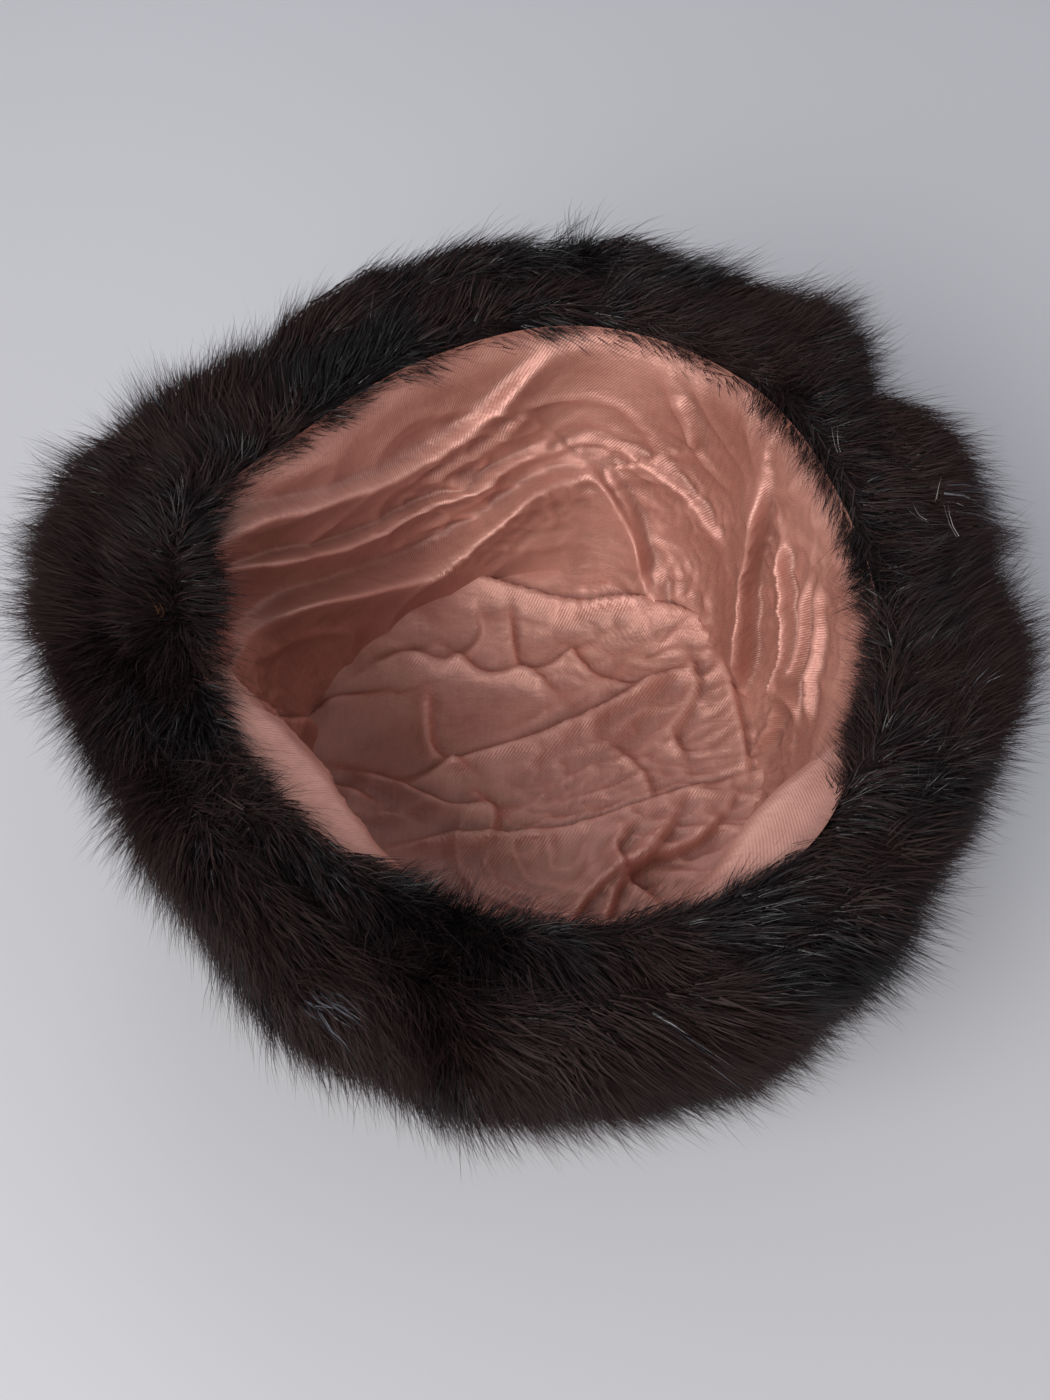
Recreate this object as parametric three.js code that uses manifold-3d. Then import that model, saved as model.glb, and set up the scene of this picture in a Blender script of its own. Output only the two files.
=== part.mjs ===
// A fur trapper hat lying on its crown with the opening up, its four flaps turned up against the crown.
// Millimetres, +Z up out of the opening, +X the front of the hat (the visor), -Y the wearer's left ear.
// Worn, the hat is the other way up. From inside to outside the crown is lining, wadding, buckram and pelt.
import * as THREE from "three";
import Module from "manifold-3d";
import { mergeVertices } from "three/addons/utils/BufferGeometryUtils.js";

const wasm = await Module();
wasm.setup();

// Driving dimensions
const GAP = 0.3; // between pieces that touch
const TIP_RADIUS = 77; // inside of the lining where the flat tip meets the side
const FOLD_HEIGHT = 116; // the flaps' hinge lines, and the top of the whole hat
const RIM_TOP = 115; // top of the fur roll round the opening
const ROLL_BASE = 99; // underside of the roll, where the side layers end
const AZIMUTH_STEP = 9; // degrees between sections; every seam lies on a multiple of it
const LEVELS = [0, 13.9, 32, 54, 76, 99, 120]; // heights at which every side layer has a row of corners

// Inside radius of the lining at the rim, every 30 degrees from RIM_START: a soft oval, drawn out at the back.
const RIM_START = -10;
const RIM_RADII = [91, 90, 97, 99, 90, 86, 97, 87, 86, 95, 99, 93];

// The four layers of the crown: how far outside the lining's inner face each begins and ends,
// and between which heights it lies across the flat tip.
const LINING = { inner: 0, outer: 0.8, tipLow: 12.9, tipHigh: 13.9 };
const WADDING = { inner: 1.1, outer: 4.1, tipLow: 9.6, tipHigh: 12.6 };
const BUCKRAM = { inner: 4.4, outer: 5.9, tipLow: 7.8, tipHigh: 9.3 };
const PELT = { inner: 6.2, outer: 14.5, tipLow: 0, tipHigh: 7.5 };
const STAY_TAPE = { inner: 1.1, outer: 2.3, low: 86.5 }; // cotton tape that holds the head size

// A flap's layers, in the same measure.
const FLAP_BACKING = { inner: 15.8, outer: 16.8 };
const FLAP_PADDING = { inner: 17.1, outer: 21.1 };
const FLAP_PELT = { inner: 21.4, outer: 39, edge: 28 }; // edge: its outer face at the free edge
const SWELL_HEIGHT = 48; // how far above the free edge the pelt reaches its full thickness
const FLAP_CAP = 6; // how deep the pelt's turned edge covers the padding at the fold
const FLAP_TRIM = 1.5; // degrees by which a flap stops short of its neighbours
const FLAP_TURNING = 1; // degrees by which the padding and backing stop short of the flap's ends

// The flaps, with the height of their free edge in the middle. They meet at the side seams of the crown.
const FLAPS = [
  { name: "visor", from: -45, to: 36, low: 40 },
  { name: "right_ear_flap", from: 36, to: 135, low: 27 },
  { name: "neck_flap", from: 135, to: 207, low: 34 },
  { name: "left_ear_flap", from: 207, to: 315, low: 27 },
];
const CORNER_RISE = 26; // how much shorter a flap is at its two ends than in the middle
const CORNER_START = 0.5; // share of the half width where the free edge starts to rise

// Press studs that hold the flaps up: one disc with a ball on the crown, one socket disc in each flap.
const SNAP_RADIUS = 6;
const SNAP_ABOVE_EDGE = 14; // from the flap's free edge up to the snap's middle
const BALL_RADIUS = 2;
const SOCKET_HOLE = 2.7;

// Where the pelts of the roll and the panels of the lining are sewn together, in degrees.
const ROLL_SEAMS = [0, 81, 198, 279];
const LINING_SEAMS = [63, 234];

const COLOURS = {
  pelt: { color: 0x1a1310, roughness: 0.85, metalness: 0 },
  satin: { color: 0xa8705c, roughness: 0.4, metalness: 0 },
  wadding: { color: 0xd9d4c8, roughness: 0.95, metalness: 0 },
  buckram: { color: 0xb9a988, roughness: 0.9, metalness: 0 },
  tape: { color: 0x2b2422, roughness: 0.8, metalness: 0 },
  suede: { color: 0x33241d, roughness: 0.95, metalness: 0 },
  metal: { color: 0x2d2b2a, roughness: 0.35, metalness: 1 },
};

const degrees = (angle) => (angle * Math.PI) / 180;
const centre = (flap) => (flap.from + flap.to) / 2;

// The closed cubic curve through RIM_RADII.
function rimRadius(azimuth) {
  const count = RIM_RADII.length;
  const place = ((((azimuth - RIM_START) % 360) + 360) % 360) / (360 / count);
  const i = Math.floor(place);
  const t = place - i;
  const [a, b, c, d] = [-1, 0, 1, 2].map((k) => RIM_RADII[(i + k + count) % count]);
  return b + 0.5 * t * (c - a + t * (2 * a - 5 * b + 4 * c - d + t * (3 * (b - c) + d - a)));
}

// How far the side has opened out from the round tip (0) to the rim's outline (1) at a height.
function opening(height) {
  const share = THREE.MathUtils.clamp((height - LINING.tipHigh) / (ROLL_BASE - LINING.tipHigh), 0, 1);
  return Math.sin((Math.PI / 2) * share);
}

// Inside radius of the lining at a height: straight between LEVELS, so that all layers run side by side.
function insideRadius(azimuth, height) {
  const above = Math.max(1, LEVELS.findIndex((level) => level >= height));
  const [low, high] = [LEVELS[above - 1], LEVELS[above]];
  const open = THREE.MathUtils.mapLinear(height, low, high, opening(low), opening(high));
  return TIP_RADIUS + (rimRadius(azimuth) - TIP_RADIUS) * open;
}

function pointAt(azimuth, radius, height) {
  const angle = degrees(azimuth);
  return new THREE.Vector3(radius * Math.cos(angle), radius * Math.sin(angle), height);
}

// The azimuths from one to another by way of the multiples of AZIMUTH_STEP between them.
function stepsBetween(from, to) {
  const steps = [from];
  const first = (Math.floor(from / AZIMUTH_STEP) + 1) * AZIMUTH_STEP;
  for (let azimuth = first; azimuth < to - 1e-6; azimuth += AZIMUTH_STEP) steps.push(azimuth);
  return [...steps, to];
}

// A closed solid that runs round the hat. section(azimuth) gives its outline as [offset, height] points,
// anticlockwise, where offset counts from the lining's inner face at that height.
function aroundHat(from, to, section) {
  const whole = to - from >= 360;
  const azimuths = whole ? stepsBetween(from, to).slice(0, -1) : stepsBetween(from, to);
  const rings = azimuths.map((azimuth) =>
    section(azimuth).map(([offset, z]) => pointAt(azimuth, insideRadius(azimuth, z) + offset, z)),
  );
  const size = rings[0].length;
  const count = whole ? rings.length : rings.length - 1;
  const index = [];
  for (let i = 0; i < count; i++) {
    const here = i * size;
    const next = ((i + 1) % rings.length) * size;
    for (let j = 0; j < size; j++) {
      const k = (j + 1) % size;
      const upward = rings[i][k].z >= rings[i][j].z; // every wall is divided along the same diagonal
      if (upward) index.push(here + j, next + k, here + k, here + j, next + j, next + k);
      else index.push(here + j, next + j, here + k, next + j, next + k, here + k);
    }
  }
  if (!whole) {
    const flat = section(from).map(([offset, z]) => new THREE.Vector2(insideRadius(from, z) + offset, z));
    const last = count * size;
    for (const [a, b, c] of THREE.ShapeUtils.triangulateShape(flat, [])) {
      index.push(a, b, c, last + a, last + c, last + b);
    }
  }
  return new THREE.BufferGeometry().setFromPoints(rings.flat()).setIndex(index);
}

// The heights from low to high by way of the LEVELS between them. With a free edge that rises and falls,
// every section needs the same number of corners, so levels below the edge are squeezed in above it.
function levelsBetween(low, high, lowest = low) {
  const inner = LEVELS.filter((level) => level > lowest && level < high);
  return [low, ...inner.map((level, i) => Math.max(level, low + 0.5 * (i + 1))), high];
}

// The outline of one sheet that stands round the crown between two heights.
function sheetSection(layer, low, high, lowest = low) {
  const levels = levelsBetween(low, high, lowest);
  return [...levels.map((z) => [layer.outer, z]), ...levels.reverse().map((z) => [layer.inner, z])];
}

// A flat disc of one layer across the tip.
function tipDisc(layer) {
  const radius = TIP_RADIUS + layer.outer;
  const profile = [
    new THREE.Vector2(0, layer.tipLow),
    new THREE.Vector2(radius, layer.tipLow),
    new THREE.Vector2(radius, layer.tipHigh),
    new THREE.Vector2(0, layer.tipHigh),
  ];
  return new THREE.LatheGeometry(profile, 48).rotateX(Math.PI / 2);
}

// The tip's pelt: flat underneath, where the hat rests, with its edge rounded up into the side.
function tipPelt() {
  const radius = TIP_RADIUS + PELT.outer;
  const round = PELT.tipHigh;
  const edge = [0, 22.5, 45, 67.5, 90].map((angle) => {
    const turn = degrees(angle);
    return new THREE.Vector2(radius - round * (1 - Math.sin(turn)), round * (1 - Math.cos(turn)));
  });
  const profile = [new THREE.Vector2(0, 0), ...edge, new THREE.Vector2(0, PELT.tipHigh)];
  return new THREE.LatheGeometry(profile, 48).rotateX(Math.PI / 2);
}

// The rounded fur roll that finishes the opening and hangs a little over the lining.
function rollSection() {
  const width = PELT.outer + GAP;
  const top = RIM_TOP;
  return [
    [-0.5, ROLL_BASE + GAP],
    [width - 1, ROLL_BASE + GAP],
    [width, ROLL_BASE + 3],
    [width, top - 6],
    [width - 3, top - 1.5],
    [width / 2, top],
    [1, top - 1],
    [-2, top - 5],
    [-2.5, top - 9],
  ];
}

// Height of a flap's free edge: level in the middle and curving up towards both ends.
function freeEdge(flap, azimuth) {
  const share = Math.abs(azimuth - centre(flap)) / ((flap.to - flap.from) / 2);
  const corner = Math.max(0, (share - CORNER_START) / (1 - CORNER_START));
  return flap.low + CORNER_RISE * corner * corner;
}

// The pelt of a flap: thick and rounded in its fur, with its edge turned over the padding at the fold.
function flapPeltSection(flap, azimuth) {
  const cap = FOLD_HEIGHT - FLAP_CAP;
  const { inner, outer, edge } = FLAP_PELT;
  const levels = levelsBetween(freeEdge(flap, azimuth), cap, flap.low);
  const low = levels[0];
  const middle = levels.slice(1, -1);
  const swell = (z) => Math.sin((Math.PI / 2) * Math.min(1, (z - low) / SWELL_HEIGHT));
  return [
    [inner, low],
    [edge, low],
    ...middle.map((z) => [edge + (outer - edge) * swell(z), z]),
    [outer - 3, cap - 1],
    [outer - 9, FOLD_HEIGHT - 1.5],
    [outer - 15, FOLD_HEIGHT],
    [FLAP_BACKING.inner + 2, FOLD_HEIGHT - 0.5],
    [FLAP_BACKING.inner, FOLD_HEIGHT - 3],
    [FLAP_BACKING.inner, cap],
    ...levels.slice(1).reverse().map((z) => [inner, z]),
  ];
}

function flapSheetSection(layer, flap, azimuth) {
  return sheetSection(layer, freeEdge(flap, azimuth) + 1, FOLD_HEIGHT - FLAP_CAP - GAP, flap.low + 1);
}

// A cylinder that points away from the hat's axis at an azimuth, between two distances from it.
function radialCylinder(azimuth, height, radius, near, far) {
  return new THREE.CylinderGeometry(radius, radius, far - near, 24)
    .rotateZ(-Math.PI / 2)
    .translate((near + far) / 2, 0, 0)
    .rotateZ(degrees(azimuth))
    .translate(0, 0, height);
}

// A manifold solid from a closed three.js geometry.
function solid(geometry) {
  const bare = (geometry.index ? geometry.toNonIndexed() : geometry).clone();
  bare.deleteAttribute("normal");
  bare.deleteAttribute("uv");
  const merged = mergeVertices(bare, 1e-4);
  const vertProperties = merged.attributes.position.array;
  const triVerts = new Uint32Array(merged.index.array);
  return new wasm.Manifold(new wasm.Mesh({ numProp: 3, vertProperties, triVerts }));
}

// A three.js geometry from a manifold solid.
function geometryOf(manifold) {
  const mesh = manifold.getMesh();
  return new THREE.BufferGeometry()
    .setAttribute("position", new THREE.BufferAttribute(new Float32Array(mesh.vertProperties), 3))
    .setIndex(new THREE.BufferAttribute(mesh.triVerts, 1));
}

// Where a flap's snap sits: its height, and the distance from the hat's axis of the lining's inner face there.
function snapPlace(flap) {
  const height = flap.low + SNAP_ABOVE_EDGE;
  return { azimuth: centre(flap), height, inside: insideRadius(centre(flap), height) };
}

// A drum-shaped hole round a snap, between two offsets.
function snapRecess(flap, near, far) {
  const { azimuth, height, inside } = snapPlace(flap);
  return solid(radialCylinder(azimuth, height, SNAP_RADIUS + GAP, inside + near, inside + far));
}

// The half on the crown: a disc sunk in the pelt, with a ball standing out of it.
function snapStud(flap) {
  const { azimuth, height, inside } = snapPlace(flap);
  const disc = solid(radialCylinder(azimuth, height, SNAP_RADIUS, inside + 12.5, inside + 14.9));
  const ball = solid(radialCylinder(azimuth, height, BALL_RADIUS, inside + 14, inside + 16.3));
  return geometryOf(disc.add(ball));
}

// The half in the flap: a disc with a hole that the ball enters.
function snapSocket(flap) {
  const { azimuth, height, inside } = snapPlace(flap);
  const disc = solid(radialCylinder(azimuth, height, SNAP_RADIUS, inside + 15.2, inside + 17.5));
  const hole = solid(radialCylinder(azimuth, height, SOCKET_HOLE, inside + 14, inside + 18));
  return geometryOf(disc.subtract(hole));
}

const hat = new THREE.Group();
const materials = Object.fromEntries(
  Object.entries(COLOURS).map(([name, look]) => [name, new THREE.MeshStandardMaterial(look)]),
);

function addPiece(name, material, geometry) {
  const mesh = new THREE.Mesh(geometry, materials[material]);
  mesh.name = name;
  hat.add(mesh);
}

// Runs make(index, from, to) for each stretch between neighbouring seams, less the gap at its two ends.
function betweenSeams(seams, make) {
  const trim = (GAP / 2 / TIP_RADIUS) * (180 / Math.PI);
  seams.forEach((from, i) => {
    const to = i + 1 < seams.length ? seams[i + 1] : seams[0] + 360;
    make(i, from + trim, to - trim);
  });
}

function addLining() {
  const names = ["lining_back_panel", "lining_front_panel"];
  betweenSeams(LINING_SEAMS, (i, from, to) => {
    const section = () => sheetSection(LINING, LINING.tipHigh + GAP, ROLL_BASE - GAP);
    addPiece(names[i], "satin", aroundHat(from, to, section));
  });
  addPiece("lining_tip", "satin", tipDisc(LINING));
}

function addFoundation() {
  const wadding = () => sheetSection(WADDING, WADDING.tipHigh + GAP, STAY_TAPE.low - GAP);
  addPiece("wadding_side", "wadding", aroundHat(0, 360, wadding));
  addPiece("wadding_tip", "wadding", tipDisc(WADDING));
  const tape = () => sheetSection(STAY_TAPE, STAY_TAPE.low, ROLL_BASE - GAP);
  addPiece("rim_stay_tape", "tape", aroundHat(0, 360, tape));
  const buckram = () => sheetSection(BUCKRAM, BUCKRAM.tipHigh + GAP, ROLL_BASE - GAP);
  addPiece("buckram_side", "buckram", aroundHat(0, 360, buckram));
  addPiece("buckram_tip", "buckram", tipDisc(BUCKRAM));
}

function addCrownPelts() {
  const names = ["crown_pelt_front", "crown_pelt_right", "crown_pelt_back", "crown_pelt_left"];
  betweenSeams(FLAPS.map((flap) => flap.from), (i, from, to) => {
    const section = () => sheetSection(PELT, PELT.tipHigh + GAP, ROLL_BASE - GAP);
    const cut = solid(aroundHat(from, to, section)).subtract(snapRecess(FLAPS[i], 12.2, 20));
    addPiece(names[i], "pelt", geometryOf(cut));
  });
  addPiece("crown_pelt_tip", "pelt", tipPelt());
}

function addRoll() {
  const names = ["rim_roll_front_right", "rim_roll_back_right", "rim_roll_back_left", "rim_roll_front_left"];
  betweenSeams(ROLL_SEAMS, (i, from, to) => addPiece(names[i], "pelt", aroundHat(from, to, rollSection)));
}

function addFlap(flap) {
  const [from, to] = [flap.from + FLAP_TRIM, flap.to - FLAP_TRIM];
  addPiece(`${flap.name}_pelt`, "pelt", aroundHat(from, to, (azimuth) => flapPeltSection(flap, azimuth)));
  for (const [kind, material, layer] of [
    ["padding", "wadding", FLAP_PADDING],
    ["backing", "suede", FLAP_BACKING],
  ]) {
    const section = (azimuth) => flapSheetSection(layer, flap, azimuth);
    const sheet = solid(aroundHat(from + FLAP_TURNING, to - FLAP_TURNING, section));
    const cut = sheet.subtract(snapRecess(flap, 10, 17.8));
    addPiece(`${flap.name}_${kind}`, material, geometryOf(cut));
  }
  addPiece(`${flap.name}_snap_socket`, "metal", snapSocket(flap));
  addPiece(`${flap.name}_snap_stud`, "metal", snapStud(flap));
}

addLining();
addFoundation();
addCrownPelts();
addRoll();
FLAPS.forEach(addFlap);

// The origin is on the ground, below the middle of the hat's outline.
const box = new THREE.Box3().setFromObject(hat);
const middle = box.getCenter(new THREE.Vector3());
hat.position.set(-middle.x, -middle.y, -box.min.z);

export default hat;
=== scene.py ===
"""A fur trapper hat lying on its crown: dark fur, four turned-up flaps and a creased satin lining."""

import math

import bmesh
import bpy
import numpy as np
from bpy.props import FloatProperty, FloatVectorProperty, IntProperty, PointerProperty
from bpy.types import Operator, Panel, PropertyGroup
from mathutils import Euler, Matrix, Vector, noise


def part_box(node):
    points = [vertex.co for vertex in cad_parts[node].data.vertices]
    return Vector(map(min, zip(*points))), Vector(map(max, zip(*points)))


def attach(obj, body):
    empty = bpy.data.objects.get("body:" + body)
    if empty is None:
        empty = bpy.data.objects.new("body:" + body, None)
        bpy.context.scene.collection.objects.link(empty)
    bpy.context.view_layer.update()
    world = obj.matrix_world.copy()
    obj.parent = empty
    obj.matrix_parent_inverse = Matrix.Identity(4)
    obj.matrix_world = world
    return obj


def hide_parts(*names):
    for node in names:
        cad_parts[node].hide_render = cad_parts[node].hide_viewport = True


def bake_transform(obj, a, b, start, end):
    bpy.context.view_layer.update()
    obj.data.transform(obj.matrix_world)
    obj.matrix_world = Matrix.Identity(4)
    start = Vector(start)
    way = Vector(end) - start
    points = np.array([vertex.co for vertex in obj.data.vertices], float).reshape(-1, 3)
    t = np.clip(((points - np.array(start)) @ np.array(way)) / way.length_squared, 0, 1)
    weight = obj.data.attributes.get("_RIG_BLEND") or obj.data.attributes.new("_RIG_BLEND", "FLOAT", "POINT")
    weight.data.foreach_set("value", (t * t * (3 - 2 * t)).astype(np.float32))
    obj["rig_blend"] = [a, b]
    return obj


bl_info = {
    "name": "Trapper hat",
    "version": (1, 0, 0),
    "blender": (4, 5, 0),
    "location": "3D View > Sidebar > Hat",
    "description": "Fur, flaps and satin lining of a trapper hat that lies on its crown",
    "category": "Object",
}

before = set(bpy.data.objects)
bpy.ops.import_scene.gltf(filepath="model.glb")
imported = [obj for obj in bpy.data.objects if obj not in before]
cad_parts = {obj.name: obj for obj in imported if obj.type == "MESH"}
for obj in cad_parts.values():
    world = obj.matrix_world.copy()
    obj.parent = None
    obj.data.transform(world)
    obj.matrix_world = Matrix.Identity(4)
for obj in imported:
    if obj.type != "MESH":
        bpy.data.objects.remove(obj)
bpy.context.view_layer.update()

MM = 0.001

# The hat's outline, as the frame has it: inside radius of the lining at the rim, every 30 degrees, in mm.
RIM_START = -10
RIM_RADII = [91, 90, 97, 99, 90, 86, 97, 87, 86, 95, 99, 93]
# The tip's radius inside and height, and the heights of the rolled rim's lower side and of the fold, in mm.
TIP_RADIUS = 77
TIP_HEIGHT = 13.9
ROLL_BASE = 99
FOLD_HEIGHT = 116
# A flap's free edge rises by CORNER_RISE mm at its ends, from CORNER_START of the way out from its middle.
# FLAP_TRIM degrees are left free at each end.
CORNER_RISE = 26
CORNER_START = 0.5
FLAP_TRIM = 1.5

# The flaps: from and to azimuth in degrees, height of the free edge in the middle in mm.
FLAPS = {
    "visor": (-45, 36, 40),
    "right_ear_flap": (36, 135, 27),
    "neck_flap": (135, 207, 34),
    "left_ear_flap": (207, 315, 27),
}
ROLL_SEAMS = (0, 81, 198, 279)


def hat_centre():
    """The axis of the hat's outline: the middle of the flat tip."""
    low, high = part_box("lining_tip")
    return (low + high) / 2


CENTRE = hat_centre()


# ---------------------------------------------------------------- settings


class HatFurSettings(PropertyGroup):
    """Sizes and colours of the fur."""

    guard_length: FloatProperty(
        name="Guard hair", description="Length of the longest hairs", default=0.0215, unit="LENGTH"
    )
    crown_length: FloatProperty(
        name="Crown hair", description="Length of the hairs on the crown", default=0.012, unit="LENGTH"
    )
    hair_width: FloatProperty(
        name="Hair width", description="Width of a guard hair's root, in parts of its length", default=0.0068
    )
    black: FloatVectorProperty(
        name="Black hair", description="Colour of the darkest guard hairs", subtype="COLOR",
        default=(0.0045, 0.0036, 0.0042),
    )
    brown: FloatVectorProperty(
        name="Brown hair", description="Colour of the brown patches", subtype="COLOR",
        default=(0.026, 0.0135, 0.0130),
    )
    aubergine: FloatVectorProperty(
        name="Aubergine hair", description="Colour of the reddish dark patches", subtype="COLOR",
        default=(0.013, 0.0075, 0.0085),
    )
    # Painted glints: these lighter bluish hairs stand in for glints of light on the dark fur.
    painted_glint_hair: FloatVectorProperty(
        name="Silver hair", description="Colour of the scattered lighter hairs", subtype="COLOR",
        default=(0.085, 0.092, 0.11),
    )
    underfur: FloatVectorProperty(
        name="Underfur", description="Colour of the dense wool under the guard hairs", subtype="COLOR",
        default=(0.012, 0.0068, 0.0062),
    )
    seed: IntProperty(name="Seed", description="Start of the hairs' random draws", default=7)


class HatLiningSettings(PropertyGroup):
    """Sizes and colours of the satin lining."""

    satin: FloatVectorProperty(
        name="Satin", description="Colour of the satin", subtype="COLOR", default=(0.58, 0.295, 0.236)
    )
    # The rubbed, dull colour of the satin for its worn patches and twill lines; darkened, it is also painted
    # into the crease hollows as shade.
    satin_rubbed_and_shade: FloatVectorProperty(
        name="Satin shade", description="Colour of the satin where it is rubbed and dull", subtype="COLOR",
        default=(0.30, 0.116, 0.086),
    )
    twill_pitch: FloatProperty(
        name="Twill pitch", description="Distance between the twill lines", default=0.0008, unit="LENGTH"
    )
    crease_height: FloatProperty(
        name="Crease height", description="Scale of all creases", default=1.0
    )


class HatStageSettings(PropertyGroup):
    """Camera, table and light."""

    camera_distance: FloatProperty(
        name="Camera distance", description="From camera to the hat's opening", default=0.39, unit="LENGTH"
    )
    camera_elevation: FloatProperty(
        name="Camera elevation", description="Height of the view above level", default=math.radians(57.5),
        subtype="ANGLE",
    )
    table: FloatVectorProperty(
        name="Table", description="Colour of the table", subtype="COLOR", default=(0.53, 0.53, 0.555)
    )


# ---------------------------------------------------------------- node trees


class Socket:
    """A shader or geometry socket that Python expressions can be written with."""

    def __init__(self, kit, out):
        self.kit, self.out = kit, out

    def _math(self, operation, a, b):
        return self.kit.node(self.kit.math, {"operation": operation}, {0: a, 1: b})

    def __add__(self, other):
        return self._math("ADD", self, other)

    def __radd__(self, other):
        return self._math("ADD", other, self)

    def __rsub__(self, other):
        return self._math("SUBTRACT", other, self)

    def __mul__(self, other):
        return self._math("MULTIPLY", self, other)


class NodeKit:
    """Adds nodes to a tree. Values in inputs may be numbers, tuples or sockets."""

    math = "ShaderNodeMath"

    def __init__(self, tree):
        self.tree = tree
        self.column = 0

    def add(self, kind, settings=None, inputs=None):
        made = self.tree.nodes.new(kind)
        made.location = (self.column, 0)
        self.column += 180
        for name, value in (settings or {}).items():
            if name == "stops":
                self._stops(made.color_ramp, value)
            else:
                setattr(made, name, value)
        for name, value in (inputs or {}).items():
            socket = made.inputs[name]
            if isinstance(value, Socket):
                self.tree.links.new(value.out, socket)
            else:
                socket.default_value = value
        return made

    def node(self, kind, settings=None, inputs=None, output=0):
        return Socket(self, self.add(kind, settings, inputs).outputs[output])

    @staticmethod
    def _stops(ramp, stops):
        while len(ramp.elements) < len(stops):
            ramp.elements.new(1)
        for element, (position, colour) in zip(ramp.elements, stops):
            element.position = position
            element.color = colour

    def vector(self, operation, a, b, output=0):
        return self.node("ShaderNodeVectorMath", {"operation": operation}, {0: a, 1: b}, output)

    def scaled(self, a, scale):
        return self.node("ShaderNodeVectorMath", {"operation": "SCALE"}, {0: a, "Scale": scale})

    def mix(self, factor, a, b):
        return self.node("ShaderNodeMix", {"data_type": "RGBA"}, {0: factor, 6: a, 7: b}, 2)


def rgba(colour):
    return (*colour[:3], 1.0)


def material(name, build, **constants):
    """A Principled material: build(kit) returns what varies, by socket name; constants go on the shader."""
    made = bpy.data.materials.new(name)
    made.use_nodes = True
    tree = made.node_tree
    shader = tree.nodes["Principled BSDF"]
    for socket, value in constants.items():
        shader.inputs[socket.replace("_", " ")].default_value = value
    kit = NodeKit(tree)
    for socket, value in (build(kit) if build else {}).items():
        tree.links.new(value.out, shader.inputs[socket])
    return made


def object_noise(kit, scale, detail=4.0, roughness=0.55, stretch=(1, 1, 1)):
    where = kit.node("ShaderNodeTexCoord", output="Object")
    where = kit.node("ShaderNodeMapping", inputs={"Vector": where, "Scale": stretch})
    grain = {"Vector": where, "Scale": scale, "Detail": detail, "Roughness": roughness}
    return kit.node("ShaderNodeTexNoise", inputs=grain)


def ramp(kit, factor, stops):
    return kit.node("ShaderNodeValToRGB", {"stops": [(p, rgba(c)) for p, c in stops]}, {0: factor})


def bump(kit, height, strength, distance):
    return kit.node("ShaderNodeBump", inputs={"Height": height, "Strength": strength, "Distance": distance})


# ---------------------------------------------------------------- shapes


def smooth(x):
    x = np.clip(x, 0, 1)
    return x * x * (3 - 2 * x)


def rim_radius(azimuth):
    """Inside radius of the lining at the rim in mm, at azimuths in degrees."""
    radii = np.array(RIM_RADII, float)
    step = (np.asarray(azimuth, float) - RIM_START) % 360 / 30
    i = np.floor(step).astype(int)
    t = step - i
    a, b, c, d = (radii[(i + k) % 12] for k in (-1, 0, 1, 2))
    return b + 0.5 * t * (c - a + t * (2 * a - 5 * b + 4 * c - d + t * (3 * (b - c) + d - a)))


def inside_radius(azimuth, height):
    share = np.clip((np.asarray(height, float) - TIP_HEIGHT) / (ROLL_BASE - TIP_HEIGHT), 0, 1)
    return TIP_RADIUS + (rim_radius(azimuth) - TIP_RADIUS) * np.sin(math.pi / 2 * share)


def place(azimuth, offset, height):
    """Points in metres from azimuth (degrees), offset outside the lining and height (both mm)."""
    azimuth, offset, height = np.broadcast_arrays(*(np.asarray(v, float) for v in (azimuth, offset, height)))
    radius = inside_radius(azimuth, height) + offset
    angle = np.radians(azimuth)
    points = np.stack([radius * np.cos(angle), radius * np.sin(angle), height], -1) * MM
    points[..., 0] += CENTRE.x
    points[..., 1] += CENTRE.y
    return points


def free_edge(flap, azimuth):
    start, end, low = FLAPS[flap]
    share = np.abs(azimuth - (start + end) / 2) / ((end - start) / 2)
    corner = np.clip((share - CORNER_START) / (1 - CORNER_START), 0, None)
    return low + CORNER_RISE * corner**2


def mesh_object(name, vertices, faces):
    mesh = bpy.data.meshes.new(name)
    mesh.from_pydata(np.asarray(vertices).reshape(-1, 3).tolist(), [], faces)
    mesh.validate()
    mesh.update()
    made = bpy.data.objects.new(name, mesh)
    bpy.context.scene.collection.objects.link(made)
    mesh.polygons.foreach_set("use_smooth", [True] * len(mesh.polygons))
    return made


def grid_faces(rows, columns, wrap_rows=False, wrap_columns=False):
    """Quads of a grid of points stored row by row."""
    faces = []
    for i in range(rows if wrap_rows else rows - 1):
        for j in range(columns if wrap_columns else columns - 1):
            k, m = (i + 1) % rows, (j + 1) % columns
            faces.append((i * columns + j, k * columns + j, k * columns + m, i * columns + m))
    return faces


def loft(name, rings, closed):
    """A skin through rings of points; closed joins the last ring to the first, else the ends are capped."""
    count, size = rings.shape[:2]
    faces = grid_faces(count, size, closed, True)
    vertices = rings.reshape(-1, 3)
    if not closed:
        caps = np.stack([rings[0].mean(0), rings[-1].mean(0)])
        first, last = len(vertices), len(vertices) + 1
        vertices = np.concatenate([vertices, caps])
        end = (count - 1) * size
        for j in range(size):
            m = (j + 1) % size
            faces.append((first, j, m))
            faces.append((last, end + m, end + j))
    return mesh_object(name, vertices, faces)


def turn_outward(made):
    """Makes all faces of a closed mesh point out."""
    work = bmesh.new()
    work.from_mesh(made.data)
    bmesh.ops.recalc_face_normals(work, faces=work.faces)
    work.to_mesh(made.data)
    work.free()
    made.data.update()
    return made


def positions(mesh):
    points = np.zeros(len(mesh.vertices) * 3)
    mesh.vertices.foreach_get("co", points)
    return points.reshape(-1, 3)


def normals(mesh):
    found = np.zeros(len(mesh.vertices) * 3)
    mesh.vertices.foreach_get("normal", found)
    return found.reshape(-1, 3)


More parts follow.
